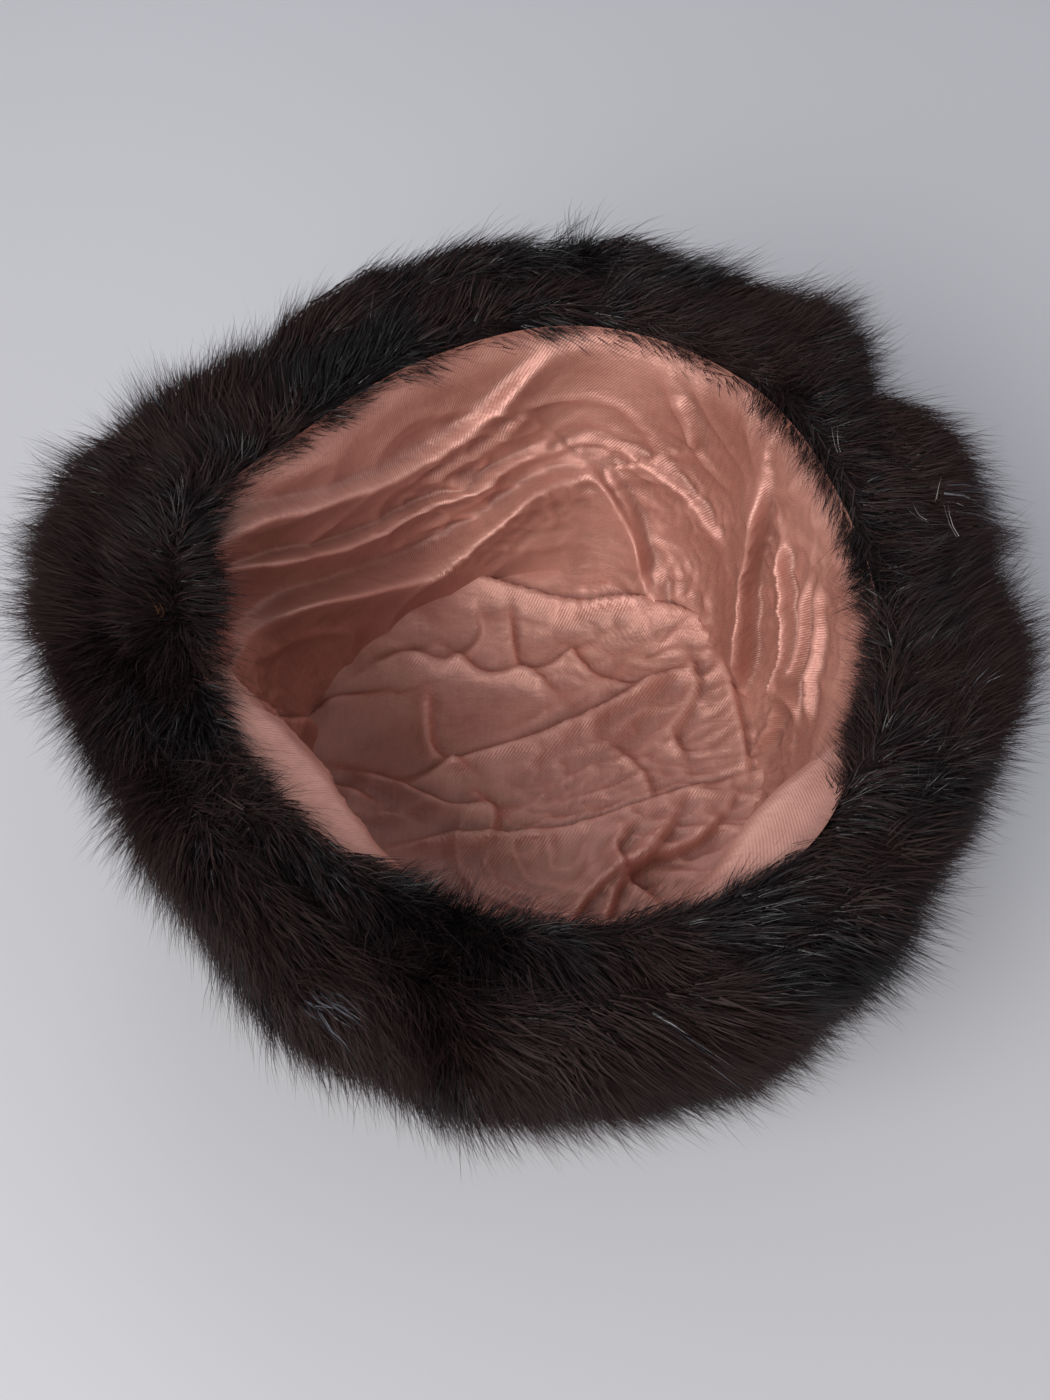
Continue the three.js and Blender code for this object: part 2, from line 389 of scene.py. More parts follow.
def lumps(points, size, depth, salt=0.0):
    """Soft unevenness: a height in metres for each point, from noise with lumps of that size."""
    shift = Vector((salt, salt * 0.37, salt * 0.71))
    return np.array([noise.noise(Vector(p) / size + shift) for p in points]) * depth


def roughen(made, *layers, share=1.0):
    """Moves each point of a skin along its normal by layers of (size, depth, salt), times its share."""
    mesh = made.data
    points, out = positions(mesh), normals(mesh)
    height = sum(lumps(points, *layer) for layer in layers)
    points = points + out * (height * share)[:, None]
    mesh.vertices.foreach_set("co", points.ravel())
    mesh.update()
    return made


def store(mesh, name, kind, values):
    attribute = mesh.attributes.new(name, kind, "POINT")
    key = "vector" if kind == "FLOAT_VECTOR" else "value"
    attribute.data.foreach_set(key, np.asarray(values, float).ravel())


def finish_piece(made, body, slot, *replaced):
    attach(made, body)
    if replaced:
        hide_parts(*replaced)
    return made


# ---------------------------------------------------------------- fur


def seam_furrow(azimuth, seams, width=2.2):
    """1 on a seam between two pelts, falling to 0 at a few degrees from it."""
    gap = np.min([np.abs((azimuth - seam + 180) % 360 - 180) for seam in seams], axis=0)
    return np.exp(-((gap / width) ** 2))


def bell(azimuth, middle, width):
    """1 at an azimuth, falling off to both sides of it."""
    away = (np.asarray(azimuth, float) - middle + 180) % 360 - 180
    return np.exp(-((away / width) ** 2))


def boxy(wave):
    """A sine made fuller, for a section between a circle and a square."""
    return np.sign(wave) * np.abs(wave) ** 0.75


def rim_lean(azimuth):
    """How far (mm) the roll's inner side lies out where the lining shows, and in where fur hangs over it."""
    out = 5.0 * bell(azimuth, 224, 18) + 5.0 * bell(azimuth, 311, 16)
    return out - 7.0 * bell(azimuth, 180, 13) - 2.5 * bell(azimuth, 8, 12)


# The rolled rim's section, in mm: middle and half width outside the lining, middle height and half height.
ROLL_MIDDLE = 8.8
ROLL_HALF_WIDTH = 7.8
ROLL_MIDDLE_HEIGHT = 105.5
ROLL_HALF_HEIGHT = 7.0


def rim_skin():
    """The skin of the rolled rim, a soft ring that dips where its pelts are sewn together."""
    azimuth = np.arange(0, 360, 2.0)
    turn = np.radians(np.arange(0, 360, 20))
    furrow = seam_furrow(azimuth, ROLL_SEAMS)[:, None]
    swell = 1 - 0.16 * furrow
    lean = rim_lean(azimuth)[:, None]
    offset = ROLL_MIDDLE + lean / 2 + (ROLL_HALF_WIDTH - lean / 2) * boxy(np.cos(turn)) * swell
    height = ROLL_MIDDLE_HEIGHT + ROLL_HALF_HEIGHT * boxy(np.sin(turn)) * swell - 1.5 * furrow
    made = turn_outward(loft("rim_underfur", place(azimuth[:, None], offset, height), True))
    return roughen(made, (0.034, 0.0034, 4.0), (0.012, 0.0012, 5.0))


# A flap's skin, in mm: the inside's offset, how far it swells out, where its rounded top begins and its rise.
FLAP_INSIDE = 16.95
FLAP_BULGE = 13.6
FLAP_SHOULDER = 101
FLAP_CREST = 11.6


def flap_skin(flap):
    """The skin of one flap: flat inside, swelling outside, rounded at the fold, thin at its free edge."""
    start, end, _ = FLAPS[flap]
    azimuth = np.linspace(start + FLAP_TRIM, end - FLAP_TRIM, int((end - start) / 2) + 1)
    low = free_edge(flap, azimuth)
    ends = np.minimum(azimuth - azimuth[0], azimuth[-1] - azimuth)
    full = 0.72 + 0.28 * smooth(ends / 7)
    rings = []
    for a, bottom, swell in zip(azimuth, low, full):
        height = np.linspace(bottom + 1, FLAP_SHOULDER, 9)
        rise = (height - bottom) / (FOLD_HEIGHT - bottom)
        full_bulge = FLAP_BULGE - 4.0 * bell(a, -4, 30)
        bulge = full_bulge - 9.6 * (1 - smooth(rise / 0.7)) ** 1.3
        outer = FLAP_INSIDE + bulge * swell
        crest = np.radians([12, 30, 50, 70, 92, 116, 140, 162])
        reach = full_bulge / 2 * swell
        middle = FLAP_INSIDE + reach
        top_offset = middle + reach * boxy(np.cos(crest))
        top_height = FLAP_SHOULDER + FLAP_CREST * boxy(np.sin(crest))
        inner_height = np.linspace(100, bottom + 1, 6)
        offsets = np.concatenate([outer, top_offset, np.full(6, FLAP_INSIDE)])
        rings.append(place(a, offsets, np.concatenate([height, top_height, inner_height])))
    made = turn_outward(loft(f"{flap}_underfur", np.array(rings), False))
    _, _, offset = polar(positions(made.data))
    return roughen(made, (0.034, 0.0060, 4.0), (0.012, 0.0016, 9.0), share=smooth((offset - 18) / 5))


def crown_skin():
    """The crown's outer skin: side and flat tip in one closed shell."""
    azimuth = np.arange(0, 360, 3.0)
    # offset outside the lining and height, both mm; -TIP_RADIUS is the hat's axis
    outer = [(-TIP_RADIUS, 2.2), (-40, 2.2), (2, 2.2), (8, 3.4), (11, 7), (12.2, 14)]
    outer += [(12.4, 30), (12.4, 54), (12.4, 78), (11.5, 97)]
    inner = [(7, 98), (6.8, 76), (6.8, 54), (6.8, 30), (6.8, 14), (4, 7.3), (-40, 7.3), (-TIP_RADIUS, 7.3)]
    offset, height = (np.array(v) for v in zip(*(outer + inner)))
    rings = place(azimuth[:, None], offset, height)
    made = loft("crown_underfur", rings, True)
    weld(made)
    return roughen(turn_outward(made), (0.025, 0.0010, 1.0))


def weld(made, distance=1e-5):
    work = bmesh.new()
    work.from_mesh(made.data)
    bmesh.ops.remove_doubles(work, verts=work.verts, dist=distance)
    work.to_mesh(made.data)
    work.free()
    made.data.update()
    return made


def unit(vectors):
    return vectors / np.maximum(np.linalg.norm(vectors, axis=-1, keepdims=True), 1e-9)


def polar(points):
    """Azimuth in degrees, unit direction away from the hat's axis, and offset outside the lining in mm."""
    x, y = points[:, 0] - CENTRE.x, points[:, 1] - CENTRE.y
    azimuth = np.degrees(np.arctan2(y, x)) % 360
    away = unit(np.stack([x, y, np.zeros_like(x)], -1))
    offset = np.hypot(x, y) / MM - inside_radius(azimuth, points[:, 2] / MM)
    return azimuth, away, offset


UP = np.array([0.0, 0.0, 1.0])


def nap(away):
    """The way the fur was laid: along the band, from the back of the hat to its front."""
    front = np.array([1.0, 0.0, 0.0])
    return front - away * (away @ front)[:, None]


def comb_rim(made, length):
    """Hair lies over the lining on the inner half of the roll and outward on its outer half."""
    mesh = made.data
    points = positions(mesh)
    azimuth, away, offset = polar(points)
    offset = offset - 0.6 * rim_lean(azimuth)
    side = smooth((offset + 1) / 9)[:, None]
    comb = away * (-0.7 + 1.5 * side) + nap(away) * (0.9 + 0.1 * side) + UP * (-0.15 + 0.35 * side)
    store(mesh, "comb", "FLOAT_VECTOR", unit(comb))
    inner = 1 - smooth((offset + 2) / 6)
    overhang = bell(azimuth, 181, 22)
    store(mesh, "fur_length", "FLOAT", length * (0.85 - (0.45 - 0.35 * overhang) * inner))
    high = smooth((points[:, 2] / MM - 101) / 4)
    store(mesh, "thickness", "FLOAT", 0.03 + high)
    store(mesh, "rise", "FLOAT", 0.6 - 0.3 * inner)
    store(mesh, "tone", "FLOAT", 0.10 * bell(azimuth, 186, 16) - 0.03)


def comb_flap(made, length):
    """Hair grows outward, lying over the fold at the top and downward along the free edge."""
    mesh = made.data
    points = positions(mesh)
    azimuth, away, offset = polar(points)
    height = points[:, 2] / MM
    top = smooth((height - 88) / 24)[:, None]
    lean = 0.5 * smooth((25 - offset) / 8)[:, None] * top
    comb = away * (0.55 - lean) + nap(away) * (0.75 + 0.1 * top) + UP * (-0.6 + 0.75 * top)
    store(mesh, "comb", "FLOAT_VECTOR", unit(comb))
    shown = smooth(np.maximum((offset - 17.6) / 3, (height - 105) / 4))
    store(mesh, "thickness", "FLOAT", 0.01 + shown * (0.5 + 0.5 * top[:, 0]))
    store(mesh, "fur_length", "FLOAT", length * (0.5 + 0.5 * smooth((offset - 18) / 8)))
    store(mesh, "rise", "FLOAT", 0.9 - 0.45 * top[:, 0])
    brown = ((150, 22), (188, 14), (262, 12), (75, 9), (22, 14))
    patches = sum(bell(azimuth, middle, width) for middle, width in brown)
    store(mesh, "tone", "FLOAT", 0.06 * smooth((offset - 20) / 10) * (0.4 + patches))


def comb_crown(made, length):
    """Short hair that runs down from the tip, and lies flat where the flaps and the table press on it."""
    mesh = made.data
    points = positions(mesh)
    _, away, offset = polar(points)
    height = points[:, 2] / MM
    outside = smooth((offset - 10) / 2)
    covered = smooth((height - 30) / 14)
    comb = away * 0.25 + nap(away) * 0.5 + UP * 0.55
    store(mesh, "comb", "FLOAT_VECTOR", unit(comb))
    store(mesh, "thickness", "FLOAT", outside * (1 - 0.8 * smooth((height - 90) / 6)))
    store(mesh, "fur_length", "FLOAT", length * (1 - 0.55 * covered))
    store(mesh, "rise", "FLOAT", 0.5 - 0.38 * covered)
    store(mesh, "tone", "FLOAT", np.zeros(len(points)))


def tuft(name, seed, width, hairs, shortest, bend, stations):
    """A few nearly parallel hairs, up to one unit long, that grow along +Z and bend towards +X."""
    draw = np.random.default_rng(seed)
    last = len(stations) - 1
    vertices, faces = [], []
    for _ in range(hairs):
        root = draw.normal(0, 0.085, 2)
        drift = draw.normal(0, 0.055, 2)
        reach = draw.uniform(shortest, 1.0)
        curve = bend * draw.uniform(0.6, 1.4)
        facing = draw.uniform(0, math.pi)
        side = np.array([math.cos(facing), math.sin(facing), 0])
        first = len(vertices)
        for k, t in enumerate(stations):
            centre = np.array([*(root + drift * t), t * reach])
            centre[0] += curve * reach * t * t
            centre[2] -= 0.3 * curve * reach * t * t
            half = 0.5 * width * (1 - t) ** 0.6
            vertices += [centre] if k == last else [centre - side * half, centre + side * half]
        for k in range(0, 2 * last - 2, 2):
            faces.append((first + k, first + k + 1, first + k + 3, first + k + 2))
        faces.append((first + 2 * last - 2, first + 2 * last - 1, first + 2 * last))
    return mesh_object(name, vertices, faces)


def fur_tree(name, tufts, shades):
    """Geometry nodes that grow tufts on a skin, laid along its comb attribute."""
    tree = bpy.data.node_groups.new(name, "GeometryNodeTree")
    face = tree.interface
    face.new_socket("Geometry", in_out="INPUT", socket_type="NodeSocketGeometry")
    for label, default in (("Density", 1000.0), ("Ruffle", 0.5), ("Seed", 0)):
        kind = "NodeSocketInt" if label == "Seed" else "NodeSocketFloat"
        face.new_socket(label, in_out="INPUT", socket_type=kind).default_value = default
    face.new_socket("Tufts", in_out="INPUT", socket_type="NodeSocketCollection").default_value = tufts
    face.new_socket("Geometry", in_out="OUTPUT", socket_type="NodeSocketGeometry")
    kit = NodeKit(tree)
    group = kit.add("NodeGroupInput")
    given = {socket.name: Socket(kit, socket) for socket in group.outputs if socket.name}

    def named(label, kind="FLOAT"):
        return kit.node("GeometryNodeInputNamedAttribute", {"data_type": kind}, {"Name": label})

    density = named("thickness") * given["Density"]
    spread = kit.add(
        "GeometryNodeDistributePointsOnFaces",
        {"distribute_method": "RANDOM"},
        {"Mesh": given["Geometry"], "Density": density, "Seed": given["Seed"]},
    )
    points, normal = Socket(kit, spread.outputs["Points"]), Socket(kit, spread.outputs["Normal"])

    def ruffle(scale, strength):
        where = kit.node("GeometryNodeInputPosition")
        grain = {"Vector": where, "Scale": scale, "Detail": 1.0}
        drawn = kit.node("ShaderNodeTexNoise", inputs=grain, output="Color")
        centred = kit.vector("SUBTRACT", drawn, (0.5, 0.5, 0.5))
        return kit.scaled(centred, given["Ruffle"] * strength)

    comb = kit.vector("ADD", named("comb", "FLOAT_VECTOR"), ruffle(22.0, 5.0))
    comb = kit.vector("ADD", comb, ruffle(75.0, 2.6))
    way = kit.vector("ADD", comb, kit.scaled(normal, named("rise")))
    stray = kit.node(
        "FunctionNodeRandomValue",
        {"data_type": "FLOAT_VECTOR"},
        {"Min": (-0.3, -0.3, -0.3), "Max": (0.3, 0.3, 0.3), "Seed": given["Seed"]},
    )
    way = kit.vector("ADD", way, stray)
    turn = kit.node("FunctionNodeAlignRotationToVector", {"axis": "Z"}, {"Vector": way})
    about = {"axis": "X", "pivot_axis": "Z"}
    turn = kit.node("FunctionNodeAlignRotationToVector", about, {"Rotation": turn, "Vector": comb})
    vary = kit.add("FunctionNodeRandomValue", {"data_type": "FLOAT"}, {"Seed": given["Seed"]})
    vary.inputs[2].default_value, vary.inputs[3].default_value = 0.6, 1.2
    size = named("fur_length") * Socket(kit, vary.outputs[1])
    picks = {"Collection": given["Tufts"], "Separate Children": True, "Reset Children": True}
    chosen = kit.node("GeometryNodeCollectionInfo", inputs=picks)
    grown = kit.node(
        "GeometryNodeInstanceOnPoints",
        None,
        {"Points": points, "Instance": chosen, "Pick Instance": True, "Rotation": turn, "Scale": size},
    )
    where = kit.node("GeometryNodeInputPosition")
    grain = {"Vector": where, "Scale": 30.0, "Detail": 3.0, "Roughness": 0.6}
    patch = kit.node("ShaderNodeTexNoise", inputs=grain)
    scatter = kit.add("FunctionNodeRandomValue", {"data_type": "FLOAT"}, {"Seed": given["Seed"]})
    scatter.inputs[2].default_value, scatter.inputs[3].default_value = -0.16, 0.16
    shade = patch + Socket(kit, scatter.outputs[1]) + named("tone")
    grown = kit.node(
        "GeometryNodeStoreNamedAttribute",
        {"data_type": "FLOAT", "domain": "INSTANCE"},
        {"Geometry": grown, "Name": "shade", "Value": shade},
    )
    mesh = kit.node("GeometryNodeRealizeInstances", inputs={"Geometry": grown})
    mesh = kit.node("GeometryNodeSetMaterial", inputs={"Geometry": mesh, "Material": shades[0][1]})
    for above, finish in shades[1:]:
        test = {"data_type": "FLOAT", "operation": "GREATER_THAN"}
        over = kit.node("FunctionNodeCompare", test, {0: named("shade"), 1: above})
        painted = {"Geometry": mesh, "Selection": over, "Material": finish}
        mesh = kit.node("GeometryNodeSetMaterial", inputs=painted)
    kit.add("NodeGroupOutput", inputs={"Geometry": mesh})
    return tree


SHADE_STARTS = (0, 0.48, 0.575, 0.845)  # black, aubergine and brown hair, and light hairs painted in as glints, by the patch value


def fur_colours():
    """The hair's shades, from the darkest up, each with the patch value from which it takes over."""
    made = bpy.data.materials.get("guard_hair_black")
    names = ("guard_hair_black", "guard_hair_aubergine", "guard_hair_brown", "guard_hair_silver")
    if made is None:
        fur = bpy.context.scene.hat_fur
        looks = (
            (fur.black, 0.36, 0.4),
            (fur.aubergine, 0.5, 0.2),
            (fur.brown, 0.6, 0.15),
            # painted glints: light bluish, glossy hairs
            (fur.painted_glint_hair, 0.3, 0.5),
        )
        for name, (colour, dullness, gloss) in zip(names, looks):
            material(name, None, Base_Color=rgba(colour), Roughness=dullness, Specular_IOR_Level=gloss)
    return list(zip(SHADE_STARTS, (bpy.data.materials[n] for n in names)))


def tuft_collection():
    found = bpy.data.collections.get("hair_tufts")
    if found is None:
        found = bpy.data.collections.new("hair_tufts")
        width = bpy.context.scene.hat_fur.hair_width
        wool = (3.4 * width, 7, 0.4, 0.18, (0.0, 0.55, 1.0))
        guard = (width, 6, 0.55, 0.3, (0.0, 0.36, 0.7, 1.0))
        for i, kind in enumerate([wool] * 4 + [guard] * 4):
            made = tuft(f"hair_tuft_{i}", 40 + i, *kind)
            if kind is wool:
                shorten(made, 0.6)
            bpy.context.scene.collection.objects.unlink(made)
            found.objects.link(made)
    return found


def shorten(made, share):
    points = positions(made.data)
    points[:, 2] *= share
    made.data.vertices.foreach_set("co", points.ravel())


def weighted_area(mesh):
    """Area of a skin times its thickness attribute, in square metres."""
    weight = np.zeros(len(mesh.vertices))
    mesh.attributes["thickness"].data.foreach_get("value", weight)
    return sum(face.area * float(np.mean(weight[list(face.vertices)])) for face in mesh.polygons)


# The attributes that only the growing needs.
GROWTH = ("shade", "comb", "thickness", "rise", "fur_length", "tone")


def grow_fur(skin, name, tufts, seed, ruffle):
    """A plain mesh of hair for a skin, with about that many tufts."""
    tree = bpy.data.node_groups.get("grow_fur")
    if tree is None:
        tree = fur_tree("grow_fur", tuft_collection(), fur_colours())
    modifier = skin.modifiers.new("fur", "NODES")
    modifier.node_group = tree
    seed += bpy.context.scene.hat_fur.seed
    values = {"Density": tufts / weighted_area(skin.data), "Ruffle": ruffle, "Seed": seed}
    for item in tree.interface.items_tree:
        if item.in_out == "INPUT" and item.name in values:
            modifier[item.identifier] = values[item.name]
    seen = skin.evaluated_get(bpy.context.evaluated_depsgraph_get())
    mesh = bpy.data.meshes.new_from_object(seen)
    skin.modifiers.remove(modifier)
    for attribute in [a.name for a in mesh.attributes if a.name in GROWTH]:
        mesh.attributes.remove(mesh.attributes[attribute])
    keep_off_table(mesh)
    made = bpy.data.objects.new(name, mesh)
    mesh.name = name
    bpy.context.scene.collection.objects.link(made)
    return made


HAIR_TOP = 0.1285  # hair tips bend over below this height
HAIR_STRAIGHT = 0.117  # and start to bend at this one


def keep_off_table(mesh, clearance=0.0004):
    """Bends hair away from the table, and over where it would stand too high."""
    points = positions(mesh)
    room = HAIR_TOP - HAIR_STRAIGHT
    high = points[:, 2] > HAIR_STRAIGHT
    points[high, 2] = HAIR_STRAIGHT + room * np.tanh((points[high, 2] - HAIR_STRAIGHT) / room)
    points[:, 2] = np.maximum(points[:, 2], clearance)
    mesh.vertices.foreach_set("co", points.ravel())
    mesh.update()


def underfur_material():
    found = bpy.data.materials.get("underfur")
    if found:
        return found
    fur = bpy.context.scene.hat_fur

    def build(kit):
        patches = object_noise(kit, 30.0, 3.0)
        strands = object_noise(kit, 320.0, 3.0, 0.7)
        dark = [0.45 * c for c in fur.underfur]
        stops = [(0.38, dark), (0.62, fur.underfur[:]), (0.8, fur.brown[:])]
        colour = ramp(kit, patches * 0.7 + strands * 0.35, stops)
        return {"Base Color": colour, "Normal": bump(kit, strands, 0.8, 0.002)}

    return material("underfur", build, Roughness=0.9, Specular_IOR_Level=0.15)


class HAT_OT_rim_fur(Operator):
    """Make the rolled rim's fur"""

    bl_idname = "hat.rim_fur"
    bl_label = "Rim fur"

    def execute(self, context):
        skin = rim_skin()
        skin.data.materials.append(underfur_material())
        comb_rim(skin, context.scene.hat_fur.guard_length)
        for i in range(2):
            hair = grow_fur(skin, f"rim_guard_hair_{i + 1}", 7000, 10 + i, 0.55)
            finish_piece(hair, "crown", "fur")
        rolls = [f"rim_roll_{part}" for part in ("front_right", "back_right", "back_left", "front_left")]
        finish_piece(skin, "crown", "fur", *rolls)
        return {"FINISHED"}


class HAT_OT_crown_fur(Operator):
    """Make the crown's fur"""

    bl_idname = "hat.crown_fur"
    bl_label = "Crown fur"

    def execute(self, context):
        skin = crown_skin()
        skin.data.materials.append(underfur_material())
        comb_crown(skin, context.scene.hat_fur.crown_length)
        hair = grow_fur(skin, "crown_guard_hair", 4500, 20, 0.3)
        finish_piece(hair, "crown", "fur")
        pelts = [f"crown_pelt_{side}" for side in ("front", "right", "back", "left", "tip")]
        finish_piece(skin, "crown", "fur", *pelts)
        return {"FINISHED"}


class HAT_OT_flap_fur(Operator):
    """Make the fur of the four flaps"""

    bl_idname = "hat.flap_fur"
    bl_label = "Flap fur"

    def execute(self, context):
        shares = {"visor": 6200, "right_ear_flap": 6800, "neck_flap": 5600, "left_ear_flap": 7600}
        for i, (flap, tufts) in enumerate(shares.items()):
            skin = flap_skin(flap)
            skin.data.materials.append(underfur_material())
            comb_flap(skin, context.scene.hat_fur.guard_length)
            for half in range(2):
                hair = grow_fur(skin, f"{flap}_guard_hair_{half + 1}", tufts, 30 + 2 * i + half, 0.5)
                finish_piece(hair, flap, "fur")
            finish_piece(skin, flap, "fur", f"{flap}_pelt")
        return {"FINISHED"}


# Odd hairs by the body they grow on: azimuth, offset and height (mm) of the root, the way they point, length
# in mm, number of hairs and colour.
STRAYS = {
    "crown": [
        (27, 4, 113, (-0.2, 1.0, 0.2), 10, 2, "pale"),
        (188, 6, 115, (0.5, -0.5, 0.9), 9, 7, "tan"),
    ],
    "visor": [
        (9, 17, 115, (-0.8, 0.3, 0.15), 12, 2, "pale"),
        (5, 22, 117, (-0.5, 0.9, 0.1), 13, 2, "pale"),
        (12, 20, 117, (0.3, 1.0, 0.2), 9, 2, "pale"),
    ],
    "left_ear_flap": [
        (222, 30, 62, (-0.6, -0.7, -0.4), 10, 9, "tan"),
        (219, 31, 58, (-0.4, -0.8, -0.5), 9, 9, "tan"),
    ],
}


class HAT_OT_stray_hairs(Operator):
    """Add the few pale and tan hairs"""

    bl_idname = "hat.stray_hairs"
    bl_label = "Stray hairs"

    def execute(self, context):
        pale = material("stray_hair_pale", None, Base_Color=(0.42, 0.40, 0.38, 1), Roughness=0.45)
        tan = material("stray_hair_tan", None, Base_Color=(0.36, 0.15, 0.05, 1), Roughness=0.5)
        for body, hairs in STRAYS.items():
            work = bmesh.new()
            for i, (azimuth, offset, height, way, length, count, colour) in enumerate(hairs):
                lock = tuft("lock", 80 + i, 0.013, count, 0.5, 0.6, (0.0, 0.36, 0.7, 1.0))
                points = positions(lock.data) * length * MM
                turn = Vector(way).to_track_quat("Z", "X").to_matrix()
                points = points @ np.array(turn).T + place(azimuth, offset, height)
                lock.data.vertices.foreach_set("co", points.ravel())
                lock.data.polygons.foreach_set("material_index", [colour == "tan"] * len(lock.data.polygons))
                work.from_mesh(lock.data)
                bpy.data.objects.remove(lock)
            mesh = bpy.data.meshes.new(f"{body}_stray_hairs")
            work.to_mesh(mesh)
            work.free()
            mesh.materials.append(pale)
            mesh.materials.append(tan)
            made = bpy.data.objects.new(mesh.name, mesh)
            bpy.context.scene.collection.objects.link(made)
            keep_off_table(mesh)
            finish_piece(made, body, "fur")
        return {"FINISHED"}


# ---------------------------------------------------------------- lining


def wall(azimuth, height):
    """A point on the lining's side, in mm from the hat's axis and the ground."""
    radius = float(inside_radius(azimuth, height))
    angle = math.radians(azimuth)
    return (radius * math.cos(angle), radius * math.sin(angle), height)


def tip(x, y):
    return (x, y, TIP_HEIGHT)


# The creases: height, widths of the gentle and the steep side and the points each runs through, in mm.
# The steep side is to the right of the way it runs, seen from inside the hat.
CREASES = [
    (17.0, 17.0, 6.0, [
        wall(172, 62), wall(158, 52), wall(145, 42), wall(132, 34), wall(117, 31), wall(100, 38),
        wall(88, 47), wall(76, 56),
    ]),
    (8.0, 10.0, 2.4, [
        wall(168, 88), wall(150, 70), wall(136, 59), wall(119, 56), wall(103, 58), wall(88, 64),
    ]),
    (7.0, 14.0, 3.0, [wall(80, 60), wall(72, 48), wall(64, 34), wall(59, 24), tip(58, 49), tip(68, 34)]),
    (3.5, 3.0, 1.6, [wall(74, 60), wall(68, 48), wall(63, 36), wall(59, 27)]),
    (7.0, 11.0, 3.0, [
        wall(170, 101), wall(156, 96), wall(142, 86), wall(126, 78), wall(112, 77), wall(98, 86),
        wall(84, 104),
    ]),
    (6.0, 4.0, 1.8, [
        tip(-62, 40), tip(-50, 56), tip(-34, 66), tip(-10, 60), tip(14, 55), tip(38, 54), tip(58, 43),
        tip(69, 29),
    ]),
    (4.5, 4.5, 1.8, [tip(-40, -12), tip(-20, -2), tip(-2, 4), tip(22, 16), tip(40, 27), tip(52, 32)]),
    (5.0, 5.0, 2.0, [
        tip(-44, -34), tip(-26, -31), tip(-8, -30), tip(12, -27), tip(31, -20), tip(48, -14), tip(66, -10),
    ]),
    (11.0, 12.0, 3.0, [wall(38, 92), wall(36, 76), wall(35, 62), wall(33, 50), wall(27, 38), wall(19, 20)]),
    (3.5, 3.0, 1.7, [tip(-34, 26), tip(-34, 12), tip(-31, 0), tip(-18, -8)]),
    (3.8, 3.5, 1.7, [tip(-8, 56), tip(-7, 42), tip(-4, 32), tip(6, 33), tip(18, 42)]),
    (3.2, 3.0, 1.7, [tip(-30, 40), tip(-16, 30), tip(-2, 30), tip(8, 22)]),
    (4.5, 4.0, 1.8, [tip(60, 38), tip(63, 20), tip(65, 4), tip(66, -10)]),
    (8.0, 8.0, 2.5, [wall(29, 80), wall(22, 68), wall(15, 58), wall(6, 50), wall(358, 44)]),
    (6.0, 6.0, 2.0, [wall(17, 90), wall(13, 76), wall(8, 60), wall(2, 38), tip(72, -4)]),
    (5.0, 5.0, 1.8, [wall(12, 92), wall(6, 78), wall(358, 66), wall(350, 58)]),
    (5.5, 8.0, 2.0, [tip(60, -18), tip(48, -30), tip(28, -38), tip(14, -50), tip(6, -66)]),
    (5.0, 6.0, 2.0, [tip(44, -20), tip(34, -34), tip(24, -46), tip(20, -58), tip(17, -70)]),
    (4.0, 4.0, 1.5, [tip(30, -24), tip(24, -34), tip(28, -44), tip(38, -52)]),
    (5.0, 9.0, 2.2, [tip(-60, -8), tip(-44, -12), tip(-26, -20), tip(-6, -20)]),
    (6.0, 9.0, 2.5, [wall(196, 40), wall(190, 26), tip(-66, -14), tip(-48, -20)]),
    (6.0, 8.0, 2.2, [wall(186, 66), wall(184, 44), wall(176, 26), tip(-62, 16), tip(-46, 22)]),
    (4.0, 7.0, 2.0, [wall(62, 96), wall(58, 86), wall(57, 76)]),
    (3.0, 3.5, 1.6, [tip(-52, 30), tip(-40, 36), tip(-26, 34), tip(-16, 44), tip(-18, 56)]),
    (2.8, 3.0, 1.6, [tip(10, 42), tip(20, 30), tip(34, 26), tip(46, 30)]),
    (2.6, 3.0, 1.6, [tip(24, 4), tip(34, -6), tip(36, -18)]),
    (2.6, 3.0, 1.6, [tip(-20, -12), tip(-12, -22), tip(-14, -30)]),
    (3.0, 3.5, 1.6, [tip(48, 38), tip(52, 24), tip(44, 10), tip(48, -2)]),
    (3.0, 9.0, 2.0, [wall(118, 66), wall(108, 70), wall(98, 74), wall(90, 84)]),
    (2.6, 8.0, 2.0, [wall(112, 64), wall(104, 60), wall(98, 54)]),
    (3.5, 9.0, 2.0, [wall(74, 66), wall(62, 62), wall(50, 56), wall(42, 52)]),
]


LEAN = 0.55  # how far a high crease leans over its steep side, in parts of its rise


